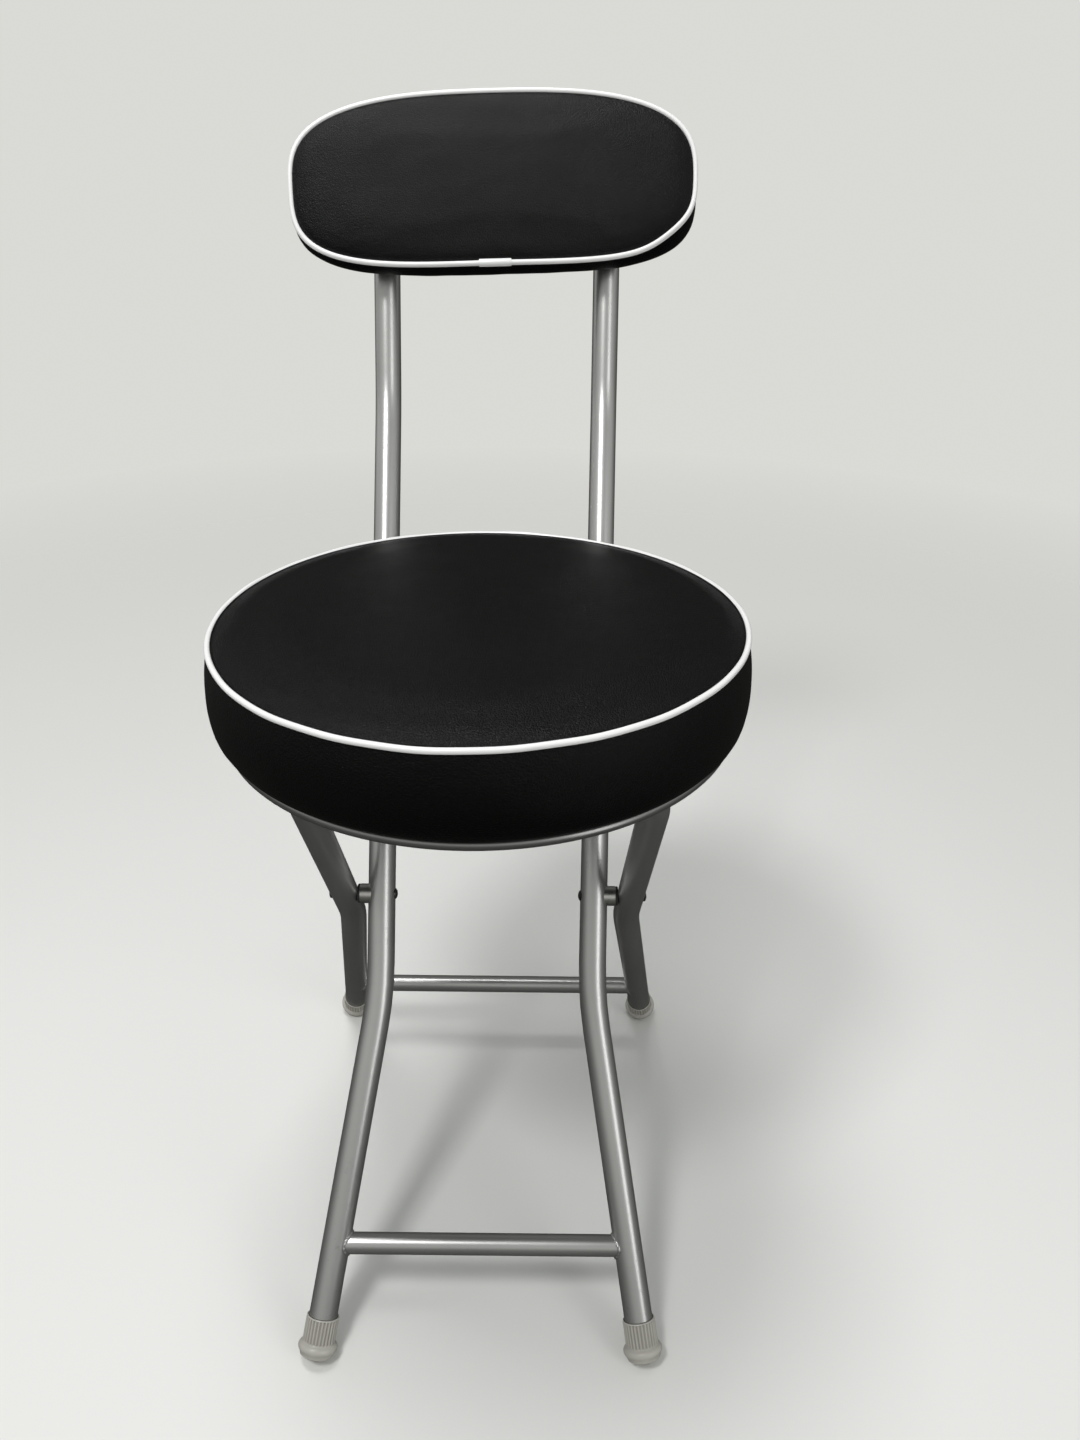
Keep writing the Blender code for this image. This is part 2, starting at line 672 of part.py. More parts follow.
def make_seat_brackets(parent, pan, board):
    screws = []
    ear_y = TUBE_R + GAP + CLAMP_SHEET + CLAMP_EAR / 2
    hook_flange_mid = REST_BAR_Y + HOOK_REAR - HOOK_LENGTH / 2
    hook_top = PAN_UNDERSIDE - GAP
    for side, label in ((-1, "left"), (1, "right")):
        clamp_x = side * CLAMP_HALF_SPACING
        clamp = make_piece("seat_clamp_" + label, prism(clamp_outline(), CLAMP_WIDTH), FINISH_SILVER,
                           parent, (clamp_x, CROSS_BAR_Y, CROSS_BAR_Z))
        for end, step in (("front", -1), ("rear", 1)):
            screws.append(("clamp_screw_%s_%s" % (label, end), clamp, CLAMP_SHEET,
                           clamp_x, CROSS_BAR_Y + step * ear_y))

        hook_x = side * HOOK_HALF_SPACING
        hook = make_piece("seat_hook_" + label, hook_bracket(side), FINISH_SILVER,
                          parent, (hook_x, REST_BAR_Y, REST_BAR_Z))
        flange_x = hook_x - side * (HOOK_SHEET / 2 + HOOK_FLANGE / 2)
        for end, step in (("front", -1), ("rear", 1)):
            screws.append(("hook_screw_%s_%s" % (label, end), hook, HOOK_SHEET,
                           flange_x, hook_flange_mid + step * HOOK_LENGTH * 0.27))

    for name, bracket, sheet, x, y in screws:
        head_z = hook_top - sheet - GAP
        length = sheet + GAP * 2 + PAN_SHEET + SEAT_SCREW_BITE + GAP
        fastener = screw(SEAT_SCREW_HEAD_D, SEAT_SCREW_HEAD_HEIGHT, SEAT_SCREW_D, length)
        make_piece(name, fastener, FINISH_STEEL, parent, (x, y, head_z))
        drill = rod(Vector((0, 0, -0.001)), Vector((0, 0, length + BOLT_PLAY)),
                    SEAT_SCREW_D / 2 + BOLT_PLAY, SMALL_SIDES)
        drill = make_cutter("drill_" + name, drill, parent, (x, y, head_z))
        for piece in (bracket, pan, board):
            cut(piece, drill)


def hook_bracket(side):
    """A web with the hook's mouth, and a flange along its top turned inwards."""
    web = hook_outline()
    top = PAN_UNDERSIDE - GAP - REST_BAR_Z
    inward = -side
    near = -inward * HOOK_SHEET / 2
    far = inward * HOOK_SHEET / 2
    bm = skin([[Vector((x, y, z)) for y, z in web] for x in (near, far)])
    # The whole plate is cut at the flange's foot, then the strip above it grows inwards.
    low = top - HOOK_SHEET
    everything = list(bm.verts) + list(bm.edges) + list(bm.faces)
    bmesh.ops.bisect_plane(bm, geom=everything, dist=1e-7, plane_co=(0, 0, low), plane_no=(0, 0, 1))
    inner = [f for f in bm.faces if all(abs(v.co.x - far) < 1e-7 for v in f.verts)]
    foot = [f for f in inner if f.calc_center_median().z > low]
    grown = bmesh.ops.extrude_face_region(bm, geom=foot)
    verts = [g for g in grown["geom"] if isinstance(g, bmesh.types.BMVert)]
    bmesh.ops.translate(bm, verts=verts, vec=(inward * HOOK_FLANGE, 0, 0))
    bmesh.ops.delete(bm, geom=[f for f in foot if f.is_valid], context="FACES")
    return bm


# Backrest

def pad_point(angle, inset, depth):
    """A point of the pad's outline, drawn in by inset, at a depth in front of the tubes."""
    c, s = math.cos(angle), math.sin(angle)
    power = 2 / PAD_SQUARENESS
    half_w = PAD_WIDTH / 2 - inset
    half_h = PAD_HEIGHT / 2 - inset
    u = half_w * math.copysign(abs(c) ** power, c)
    w = half_h * math.copysign(abs(s) ** power, s)
    w -= PAD_BOW * (u / (PAD_WIDTH / 2)) ** 2
    return Vector((u, -depth, w))


def pad_ring(inset, depth, sides=PAD_SIDES):
    return [pad_point(2 * math.pi * (k + 0.5) / sides, inset, depth) for k in range(sides)]


def pad_crown_ring(share, depth):
    return [Vector((p.x * share, p.y, p.z * share)) for p in pad_ring(PIPING_R * 2, depth)]


def pad_cushion():
    front = PAD_FRONT
    seam = front - PIPING_R * 0.2
    rings = [[Vector((0, -(front + PAD_CROWN), 0))]]
    for share in (0.3, 0.55, 0.75, 0.88, 0.95):
        rings.append(pad_crown_ring(share, front + PAD_CROWN * (1 - share ** 4)))
    clear = PIPING_R + GAP
    for angle in (160, 200, 240, 278):
        a = math.radians(angle)
        rings.append(pad_ring(PIPING_R - clear * math.cos(a), seam + clear * math.sin(a)))
    side = PAD_THICKNESS
    rings += [
        pad_ring(0.0012, front - side * 0.17),
        pad_ring(0.0002, front - side * 0.40),
        pad_ring(0.0004, front - side * 0.65),
        pad_ring(0.0022, front - side * 0.88),
        pad_ring(0.0042, PAD_REAR),
    ]
    pocket = PAD_BOARD_INSET - GAP
    ceiling = PAD_REAR + PAD_BOARD_THICKNESS + GAP
    rings += [pad_ring(pocket, PAD_REAR), pad_ring(pocket, ceiling)]
    rings.append([Vector((0, -ceiling, 0))])
    return skin(rings), seam


def make_backrest(parent, frame_tube):
    """Board, cushion, piping and screws; the pad's own Z runs up the uprights."""
    centre = BACK_BEND + BACK_AXIS * PAD_RISE + Vector((PAD_SHIFT, 0, 0))
    lean = Matrix.Rotation(-BACK_LEAN, 3, "X")
    turn = lean @ Matrix.Rotation(-PAD_TURN, 3, "Y")

    cushion_bm, seam = pad_cushion()
    cushion = make_piece("backrest_cushion", cushion_bm, FINISH_VINYL, parent, centre, turn)
    edge = 0.0015
    board_front = PAD_REAR + PAD_BOARD_THICKNESS
    board_rings = [
        [Vector((0, -PAD_REAR, 0))],
        pad_ring(PAD_BOARD_INSET + edge, PAD_REAR),
        pad_ring(PAD_BOARD_INSET, PAD_REAR + edge),
        pad_ring(PAD_BOARD_INSET, board_front),
        [Vector((0, -board_front, 0))],
    ]
    board = make_piece("backrest_board", skin(board_rings), FINISH_BLACK_PLASTIC, parent, centre, turn)

    rings = []
    for k in range(PIPING_SIDES):
        a = 2 * math.pi * k / PIPING_SIDES
        rings.append(pad_ring(PIPING_R - PIPING_R * math.cos(a), seam + PIPING_R * math.sin(a)))
    make_piece("backrest_piping", skin(rings, wrap=True), FINISH_PIPING, parent, centre, turn)
    make_sleeve(parent, cushion, centre, turn, seam)
    make_back_screws(parent, board, frame_tube, lean)


def make_sleeve(parent, cushion, centre, turn, seam):
    """The sleeve over the piping's joint at the middle of the pad's lower edge."""
    path = []
    for share in (-0.5, 0.0, 0.5):
        u = share * SLEEVE_LENGTH
        level = 1 - (abs(u) / (PAD_WIDTH / 2 - PIPING_R)) ** PAD_SQUARENESS
        w = -(PAD_HEIGHT / 2 - PIPING_R) * level ** (1 / PAD_SQUARENESS)
        w -= PAD_BOW * (u / (PAD_WIDTH / 2)) ** 2
        path.append(Vector((u, -seam, w)))
    inner_r = PIPING_R + GAP
    outer_r = inner_r + SLEEVE_WALL
    sleeve = tube(path, outer_r * 2, SLEEVE_WALL, PIPING_SIDES + 4)
    make_piece("piping_joint_sleeve", sleeve, FINISH_PIPING, parent, centre, turn)
    reach = Vector((0.0006, 0, 0))
    socket = skin(sweep_rings([path[0] - reach, path[1], path[2] + reach], outer_r + GAP, PIPING_SIDES + 4))
    cut(cushion, make_cutter("sleeve_socket", socket, parent, centre, turn))


def saddle_washer():
    """A washer hollowed underneath to sit on the tube; it lies along -Z from zero."""
    hole = BACK_SCREW_D / 2 + BOLT_PLAY
    outer = SADDLE_WASHER_D / 2
    return revolve([
        (hole, -SADDLE_WASHER_HEIGHT), (outer - 0.0012, -SADDLE_WASHER_HEIGHT),
        (outer, -SADDLE_WASHER_HEIGHT * 0.5), (outer, 0.004), (hole, 0.004)], WASHER_SIDES, wrap=True)


def make_back_screws(parent, board, frame_tube, lean):
    """Screws from behind, two through the uprights and two through the top bar."""
    forward = lean @ Matrix.Rotation(math.radians(90), 3, "X")
    across = Vector((1, 0, 0))
    spots = (
        ("lower", INNER_HALF_AT_BEND, BACK_BEND + BACK_AXIS * BACK_SCREW_RISE, BACK_AXIS),
        ("upper", TOP_SCREW_HALF_SPACING, BACK_TOP, across),
    )
    for end, half_x, centre, tube_line in spots:
        for side, label in ((-1, "left"), (1, "right")):
            name = "%s_%s" % (label, end)
            on_axis = Vector((side * half_x, centre.y, centre.z))
            washer_at = on_axis - BACK_NORMAL * (TUBE_R + GAP)
            head_at = washer_at - BACK_NORMAL * (SADDLE_WASHER_HEIGHT + GAP)
            length = SADDLE_WASHER_HEIGHT + 3 * GAP + TUBE_D + BACK_SCREW_BITE
            washer = make_piece("saddle_washer_" + name, saddle_washer(), FINISH_BLACK_PLASTIC, parent,
                                washer_at, forward)
            reach = tube_line * SADDLE_WASHER_D
            saddle = rod(-reach, reach, TUBE_R + GAP, TUBE_SIDES * 2)
            cut(washer, make_cutter("saddle_of_" + name, saddle, parent, on_axis))
            back_screw = screw(BACK_SCREW_HEAD_D, BACK_SCREW_HEAD_HEIGHT, BACK_SCREW_D, length)
            make_piece("back_screw_" + name, back_screw, FINISH_STEEL, parent, head_at, forward)
            drill = rod(Vector((0, 0, -0.001)), Vector((0, 0, length + BOLT_PLAY)),
                        BACK_SCREW_D / 2 + BOLT_PLAY, SMALL_SIDES)
            drill = make_cutter("drill_back_" + name, drill, parent, head_at, forward)
            cut(frame_tube, drill)
            cut(board, drill)


# Assembly

def middle_of_depth():
    """Middle of the stool from front to back, in chair coordinates."""
    bpy.context.view_layer.update()
    depths = []
    for obj in bpy.data.objects:
        if obj.type == "MESH" and not obj.hide_render:
            depths += [(obj.matrix_world @ vert.co).y for vert in obj.data.vertices]
    return (min(depths) + max(depths)) / 2


def build():
    clear_scene()
    ground = make_empty("ground", None, (0, 0, 0))
    chair = make_empty("chair", None, (0, 0, 0))
    chair.rotation_euler = (-SEAT_RAKE, 0, 0)
    leg_pivot = make_empty("leg_pivot", chair, (0, PIVOT_Y, PIVOT_HEIGHT))
    seat_hinge = make_empty("seat_hinge", leg_pivot, (0, CROSS_BAR_Y, CROSS_BAR_Z))

    floor_bm = skin([[Vector((x, y, z)) for x, y in ((-1, -1), (1, -1), (1, 1), (-1, 1))] for z in (-0.1, 0.0)])
    floor = make_cutter("floor_plane", floor_bm, ground)

    front = front_frame_corners()
    front_tube = make_frame_tube("front_frame_tube", front,
                                 [SPLAY_RADIUS, BACK_BEND_RADIUS, BACK_CORNER_RADIUS], chair, (0, 0, 0))
    rear = rear_frame_corners()
    pivot_at = leg_pivot["at"]
    rear_tube = make_frame_tube("rear_frame_tube", rear, [REAR_BEND_RADIUS, REAR_CORNER_RADIUS],
                                leg_pivot, pivot_at)

    for side, label in ((-1, "left"), (1, "right")):
        for name, corners, parent in (("foot_front_", front, chair), ("foot_rear_", rear, leg_pivot)):
            foot, knee = corners[0], corners[1]
            if side > 0:
                foot, knee = mirror_x(foot), mirror_x(knee)
            make_foot(name + label, foot, knee, parent, floor)
        bore = make_pivot(side, label, chair)
        cut(front_tube, bore)
        cut(rear_tube, bore)

    def half_at(corners, z):
        low, high = corners[0], corners[1]
        return abs(low.x + (high.x - low.x) * (z - low.z) / (high.z - low.z))

    make_crossbar("front_stretcher", half_at(front, FRONT_STRETCHER_HEIGHT), front_y(FRONT_STRETCHER_HEIGHT),
                  FRONT_STRETCHER_HEIGHT, STRETCHER_D, STRETCHER_WALL, chair, (0, 0, 0), front[:2])
    make_crossbar("rear_stretcher", half_at(rear, REAR_STRETCHER_HEIGHT), rear_y(REAR_STRETCHER_HEIGHT),
                  REAR_STRETCHER_HEIGHT, STRETCHER_D, STRETCHER_WALL, leg_pivot, pivot_at, rear[:2])
    make_crossbar("seat_rest_bar", inner_half(REST_BAR_Z), REST_BAR_Y,
                  REST_BAR_Z, REST_BAR_D, REST_BAR_WALL, chair, (0, 0, 0), front[1:3])

    pan, board = make_seat(seat_hinge)
    make_seat_brackets(seat_hinge, pan, board)
    make_backrest(chair, front_tube)
    chair.location = (0, -middle_of_depth(), 0)


build()
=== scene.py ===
import math

import bpy
from mathutils import Matrix, Vector, noise


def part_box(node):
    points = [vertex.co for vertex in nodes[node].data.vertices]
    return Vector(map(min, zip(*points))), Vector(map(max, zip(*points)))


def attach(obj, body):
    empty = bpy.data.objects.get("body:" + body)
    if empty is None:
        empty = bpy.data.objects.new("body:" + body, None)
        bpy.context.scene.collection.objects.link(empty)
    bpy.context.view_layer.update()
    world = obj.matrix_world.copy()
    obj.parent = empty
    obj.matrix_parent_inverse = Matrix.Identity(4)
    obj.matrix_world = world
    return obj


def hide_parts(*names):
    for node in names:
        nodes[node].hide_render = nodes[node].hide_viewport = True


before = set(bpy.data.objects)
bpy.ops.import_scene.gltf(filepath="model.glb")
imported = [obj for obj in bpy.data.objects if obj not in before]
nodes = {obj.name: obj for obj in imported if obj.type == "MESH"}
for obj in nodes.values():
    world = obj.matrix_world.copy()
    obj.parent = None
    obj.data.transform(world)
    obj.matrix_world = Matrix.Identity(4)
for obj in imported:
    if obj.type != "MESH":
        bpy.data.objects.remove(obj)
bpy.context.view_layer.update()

# A folding stool with a round seat and a padded backrest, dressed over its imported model.
# All lengths are in metres.

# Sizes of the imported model

TUBE_R = 0.0095
TUBE_WALL = 0.0012
STRETCHER_R = 0.007
REST_BAR_R = 0.006
BAR_WALL = 0.001
GAP = 0.0003

SEAT_RAKE = math.radians(1.8)
LEG_LEAN = math.radians(35.6)
BACK_LEAN = math.radians(19.5)
FRONT_FOOT_HALF = 0.1074
INNER_HALF_AT_PIVOT = 0.0745
INNER_HALF_AT_BEND = 0.080
SPLAY_HEIGHT = 0.193
PIVOT_HEIGHT = 0.249
BACK_BEND_HEIGHT = 0.543
BACK_REACH = 0.176
FRONT_RADII = [0.26, 0.14, 0.038]
FRONT_STRETCHER_HEIGHT = 0.0588

REAR_LEAN = math.radians(31.0)
REAR_FOOT_HALF = 0.1292
REAR_HALF_AT_PIVOT = 0.1003
REAR_HALF_AT_TOP = 0.1045
REAR_BEND_DROP = 0.030
REAR_RADII = [0.16, 0.050]
REAR_STRETCHER_HEIGHT = 0.0665

PAN_UNDERSIDE = 0.4188
PAN_TOP = 0.4200
PAN_EDGE_R = 0.151
PAN_BEAD_R = 0.003
PIPING_RING_R = 0.1535
PIPING_HEIGHT = 0.4715
CUSHION_BASE = 0.4203
SEAT_CROWN = 0.0075
CROSS_BAR_Z = 0.409
REST_BAR_Z = 0.3893
UPRIGHT_CLEARANCE = 0.0035

FOOT_DOME_R = 0.018
FOOT_HEIGHT = 0.0175
FOOT_FLANGE_R = 0.0131
FOOT_FLANGE_HEIGHT = 0.0062
FOOT_SEAT = 0.0081
FOOT_COLLAR_LENGTH = 0.0185
FOOT_COLLAR_WALL = 0.0011

PAD_HALF_WIDTH = 0.1413
PAD_HALF_HEIGHT = 0.0571
PAD_BOW = 0.0050
PAD_SQUARENESS = 3.2
PAD_RISE = 0.1452
PAD_REAR = 0.0098
PAD_FRONT = 0.0388
PAD_CROWN = 0.0050
PAD_TURN = math.radians(2.1)
PAD_SHIFT = -0.0015
SLEEVE_LENGTH = 0.0226

CLAMP_SHEET = 0.002
HOOK_SHEET = 0.0025
SADDLE_WASHER = 0.0022
LOWER_SCREW_RISE = 0.112
UPPER_SCREW_HALF = 0.031

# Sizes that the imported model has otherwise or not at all

PIPING_R = 0.0017
PAD_SEAM = PAD_FRONT - PIPING_R * 0.2
CORNER_PULL = 0.0052
SIDE_SWELL = 0.0024
FOOT_RIBS = 28
RIB_DEPTH = 0.00075
EDGE_BREAK = 0.00035

# How finely the meshes are made

TUBE_SIDES = 40
BAR_SIDES = 36
ARC_STEP = math.radians(4)
POLE = 0.00002
MERGE = 0.00005

# How the covers are blown up, and the most that a point of them may move

PRESSURE = 3.0
CLOTH_STEPS = 20
SMOOTHINGS = 10
SEAT_SHIFT = 0.0008
PAD_COVER_SHIFT = 0.0010

# Places are worked out with the seat level and centred on Y = 0, then carried to the model.
seat_middle = sum(corner.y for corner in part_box("seat_piping")) / 2
CHAIR = (Matrix.Translation((0, seat_middle - PIPING_HEIGHT * math.sin(SEAT_RAKE), 0))
         @ Matrix.Rotation(-SEAT_RAKE, 4, "X"))

edge_half_chord = (INNER_HALF_AT_PIVOT - TUBE_R + (INNER_HALF_AT_BEND - INNER_HALF_AT_PIVOT)
                   * (CUSHION_BASE - PIVOT_HEIGHT) / (BACK_BEND_HEIGHT - PIVOT_HEIGHT))
UPRIGHT_Y = (math.sqrt(PIPING_RING_R ** 2 - edge_half_chord ** 2)
             + UPRIGHT_CLEARANCE + TUBE_R / math.cos(LEG_LEAN))


def front_y(z):
    """Y of the front frame's plane at a height."""
    return UPRIGHT_Y + (z - CUSHION_BASE) * math.tan(LEG_LEAN)


def inner_half(z):
    """How far the front frame's uprights stand from the middle at a height."""
    slope = (INNER_HALF_AT_BEND - INNER_HALF_AT_PIVOT) / (BACK_BEND_HEIGHT - PIVOT_HEIGHT)
    return INNER_HALF_AT_PIVOT + slope * (z - PIVOT_HEIGHT)


PIVOT_Y = front_y(PIVOT_HEIGHT)


def rear_y(z):
    """Y of the rear frame's plane at a height."""
    return PIVOT_Y - (z - PIVOT_HEIGHT) * math.tan(REAR_LEAN)


def foot_height(line_y, slope):
    """Height of a foot's dome centre on its leg's line, with the sole on the floor."""
    rise = FOOT_HEIGHT + line_y(0.0) * math.sin(SEAT_RAKE)
    return rise / (math.cos(SEAT_RAKE) - slope * math.sin(SEAT_RAKE))


FRONT_FOOT_Z = foot_height(front_y, math.tan(LEG_LEAN))
REAR_FOOT_Z = foot_height(rear_y, -math.tan(REAR_LEAN))


BACK_AXIS = Vector((0, math.sin(BACK_LEAN), math.cos(BACK_LEAN)))
BACK_NORMAL = Vector((0, -math.cos(BACK_LEAN), math.sin(BACK_LEAN)))
BACK_BEND = Vector((0, front_y(BACK_BEND_HEIGHT), BACK_BEND_HEIGHT))
BACK_TOP = BACK_BEND + BACK_AXIS * BACK_REACH


# Shader maths and nodes

class Value:
    """A shader number that takes part in arithmetic, each step adding a Math node."""

    def __init__(self, finish, socket):
        self.finish = finish
        self.socket = socket

    def join(self, operation, other, swapped=False):
        ends = [other, self] if swapped else [self, other]
        return self.finish.number("ShaderNodeMath", {"operation": operation}, {0: ends[0], 1: ends[1]})

    def __add__(self, other):
        return self.join("ADD", other)

    __radd__ = __add__

    def __sub__(self, other):
        return self.join("SUBTRACT", other)

    def __rsub__(self, other):
        return self.join("SUBTRACT", other, True)

    def __mul__(self, other):
        return self.join("MULTIPLY", other)

    __rmul__ = __mul__


class Graph:
    """A node tree under construction."""

    def __init__(self, tree):
        self.tree = tree

    def node(self, kind, settings=None, sockets=None):
        made = self.tree.nodes.new(kind)
        for key, value in (settings or {}).items():
            if key == "stops":
                for index, (place, shade) in enumerate(value):
                    stops = made.color_ramp.elements
                    stop = stops[index] if index < len(stops) else stops.new(place)
                    stop.position = place
                    stop.color = shade
            else:
                setattr(made, key, value)
        for key, value in (sockets or {}).items():
            self.plug(made.inputs[key], value)
        return made

    def plug(self, socket, value):
        if isinstance(value, Value):
            self.tree.links.new(value.socket, socket)
        elif isinstance(value, bpy.types.NodeSocket):
            self.tree.links.new(value, socket)
        else:
            socket.default_value = value

    def number(self, kind, settings=None, sockets=None, output=0):
        return Value(self, self.node(kind, settings, sockets).outputs[output])

    def ramp(self, value, low, high, start=0.0, end=1.0):
        """A number that goes from start to end while value goes from low to high."""
        return self.number("ShaderNodeMapRange", {"clamp": True}, {
            "Value": value, "From Min": low, "From Max": high, "To Min": start, "To Max": end})

    def blend(self, factor, first, second):
        """A colour between two, each three numbers or a link."""
        first, second = [(*end, 1) if isinstance(end, tuple) else end for end in (first, second)]
        return self.node("ShaderNodeMix", {"data_type": "RGBA"}, {
            "Factor": factor, 6: first, 7: second}).outputs[2]


class Finish(Graph):
    """A material under construction."""

    def __init__(self, name):
        self.material = bpy.data.materials.new(name)
        self.material.use_nodes = True
        super().__init__(self.material.node_tree)
        self.shader = self.tree.nodes["Principled BSDF"]

    def place(self):
        return self.node("ShaderNodeTexCoord").outputs["Object"]

    def part_of_place(self, axis):
        return self.number("ShaderNodeSeparateXYZ", sockets={0: self.place()}, output=axis)

    def speckle(self, scale, detail, rough=0.5):
        return self.number("ShaderNodeTexNoise", sockets={
            "Vector": self.place(), "Scale": scale, "Detail": detail, "Roughness": rough})

    def cells(self, scale, feature="F1"):
        return self.number("ShaderNodeTexVoronoi", {"feature": feature}, {
            "Vector": self.place(), "Scale": scale})

    def mark(self, name):
        """A number kept on the mesh's points."""
        return self.number("ShaderNodeAttribute", {"attribute_name": name}, output=2)

    def bump(self, height, strength, distance):
        bumped = self.node("ShaderNodeBump", sockets={
            "Height": height, "Strength": strength, "Distance": distance})
        self.plug(self.shader.inputs["Normal"], bumped.outputs[0])

    def set(self, **sockets):
        names = {"colour": "Base Color", "roughness": "Roughness", "metallic": "Metallic",
                 "coat": "Coat Weight", "coat_roughness": "Coat Roughness",
                 "specular": "Specular IOR Level", "sheen": "Sheen Weight",
                 "sheen_roughness": "Sheen Roughness"}
        for key, value in sockets.items():
            self.plug(self.shader.inputs[names[key]], value)
        return self.material


def toned(colour, tone):
    return tuple(channel * tone for channel in colour)


def silver_paint(name="silver_paint", tone=1.0):
    """Sprayed silver: fine flake, soft orange peel, and scuffs low on the legs; a tone below 1 darkens
    the whole colour as painted shade.
    """
    finish = Finish(name)
    cloud = finish.speckle(14.0, 4.0)
    flake = finish.cells(2600.0)
    scuff = finish.ramp(finish.speckle(160.0, 6.0, 0.65), 0.60, 0.72) * finish.ramp(
        finish.part_of_place(2), 0.02, 0.13, 1.0, 0.12)
    body = finish.blend(cloud, toned((0.41, 0.41, 0.405), tone), toned((0.47, 0.47, 0.46), tone))
    colour = finish.blend(scuff * 0.55, body, (0.20, 0.19, 0.18))
    peel = finish.speckle(700.0, 2.0) * 0.7 + flake * 0.3
    finish.bump(peel, 0.10, 0.0002)
    return finish.set(colour=colour, metallic=0.88, roughness=0.29 + cloud * 0.07 + scuff * 0.25,
                      coat=0.2, coat_roughness=0.15)


def plated_steel():
    """Bright zinc with a mottled gloss."""
    finish = Finish("plated_steel")
    cloud = finish.speckle(220.0, 5.0, 0.6)
    finish.bump(finish.speckle(2400.0, 2.0), 0.08, 0.0001)
    colour = finish.blend(cloud, (0.42, 0.42, 0.41), (0.62, 0.61, 0.58))
    return finish.set(colour=colour, metallic=1.0, roughness=0.22 + cloud * 0.16)


def dark_steel():
    """Blackened bolt ends, rubbed brighter on the high spots."""
    finish = Finish("dark_steel")
    rub = finish.ramp(finish.speckle(420.0, 4.0), 0.50, 0.70)
    finish.bump(finish.speckle(1800.0, 2.0), 0.12, 0.0001)
    colour = finish.blend(rub, (0.035, 0.035, 0.036), (0.12, 0.12, 0.12))
    return finish.set(colour=colour, metallic=0.85, roughness=0.34 + rub * 0.1)


def black_vinyl():
    """Grained sheet: uneven pebbles parted by creases, with a low gloss that comes and goes."""
    finish = Finish("black_vinyl")
    crease = finish.ramp(finish.cells(620.0, "DISTANCE_TO_EDGE"), 0.0, 0.22)
    small = finish.ramp(finish.cells(1150.0, "DISTANCE_TO_EDGE"), 0.0, 0.20)
    coarse = finish.speckle(430.0, 3.0, 0.6)
    hand = finish.speckle(24.0, 4.0, 0.55)
    dust = finish.ramp(finish.speckle(900.0, 2.0), 0.70, 0.78) * finish.ramp(hand, 0.45, 0.7)
    finish.bump(crease * 0.5 + small * 0.25 + coarse * 0.8, 0.70, 0.00034)
    base = finish.blend(hand, (0.0005, 0.0005, 0.0005), (0.0011, 0.0011, 0.0012))
    colour = finish.blend(dust * 0.03, base, (0.10, 0.10, 0.095))
    return finish.set(colour=colour, roughness=0.36 + hand * 0.10 - crease * 0.05, specular=0.16)


def white_piping():
    """Glossy white cord, a little soiled in spots."""
    finish = Finish("white_piping")
    cloud = finish.speckle(60.0, 4.0)
    soil = finish.ramp(finish.speckle(310.0, 5.0, 0.6), 0.62, 0.74)
    finish.bump(finish.speckle(1500.0, 2.0), 0.08, 0.0001)
    clean = finish.blend(cloud, (0.74, 0.74, 0.73), (0.81, 0.81, 0.80))
    colour = finish.blend(soil * 0.16, clean, (0.50, 0.48, 0.44))
    return finish.set(colour=colour, roughness=0.33 + cloud * 0.1, coat=0.2, coat_roughness=0.2)


def foot_plastic():
    """Warm grey moulded caps, dusty towards the floor, with painted shade in the grooves between the
    ribs.
    """
    finish = Finish("foot_plastic")
    cloud = finish.speckle(120.0, 4.0)
    low = finish.ramp(finish.part_of_place(2), 0.0005, 0.009, 1.0, 0.0)
    dirt = low * finish.ramp(finish.speckle(520.0, 5.0, 0.6), 0.35, 0.65, 0.15, 0.75)
    finish.bump(finish.speckle(2000.0, 2.0), 0.10, 0.0001)
    clean = finish.blend(cloud, (0.38, 0.37, 0.335), (0.46, 0.445, 0.405))
    # Painted shade: the colour is darkened where the groove mark is set, in the sunk grooves of the ribs.
    painted_groove_shade = finish.blend(finish.mark("groove") * 0.6, clean, (0.17, 0.16, 0.14))
    colour = finish.blend(dirt, painted_groove_shade, (0.19, 0.17, 0.15))
    return finish.set(colour=colour, roughness=0.30 + cloud * 0.12 + dirt * 0.25)


def black_plastic():
    """Moulded black with a fine dull texture."""
    finish = Finish("black_plastic")
    cloud = finish.speckle(300.0, 4.0)
    finish.bump(finish.speckle(1600.0, 3.0), 0.14, 0.0001)
    colour = finish.blend(cloud, (0.016, 0.016, 0.017), (0.030, 0.030, 0.030))
    return finish.set(colour=colour, roughness=0.46 + cloud * 0.12)


def backing_cloth():
    """Thin pressed backing on the rear of the backrest."""
    finish = Finish("backing_cloth")
    fibre = finish.speckle(1300.0, 6.0, 0.7)
    dimple = finish.cells(700.0)
    finish.bump(fibre * 0.6 + dimple * 0.6, 0.5, 0.0003)
    colour = finish.blend(fibre, (0.012, 0.012, 0.012), (0.034, 0.034, 0.034))
    return finish.set(colour=colour, roughness=0.78 + fibre * 0.15, sheen=0.15, sheen_roughness=0.5)


def plywood():
    """Pale board with wavy growth rings."""
    finish = Finish("plywood")
    rings = finish.number("ShaderNodeTexWave", {"bands_direction": "Y"}, {
        "Vector": finish.place(), "Scale": 90.0, "Distortion": 5.0, "Detail": 3.0}, output=1)
    finish.bump(rings, 0.2, 0.0002)
    colour = finish.blend(rings, (0.36, 0.23, 0.12), (0.52, 0.36, 0.20))
    return finish.set(colour=colour, roughness=0.68)


silver = silver_paint()
# The pan's copy of the silver paint is darkened to 0.55 as painted shade, for the shade under the seat.
pan_painted_shade_silver = silver_paint("pan_painted_shade_silver", 0.55)
steel = plated_steel()
blackened = dark_steel()
vinyl = black_vinyl()
white = white_piping()
grey_cap = foot_plastic()
moulded = black_plastic()
backing = backing_cloth()
wood = plywood()


# Modelling helpers

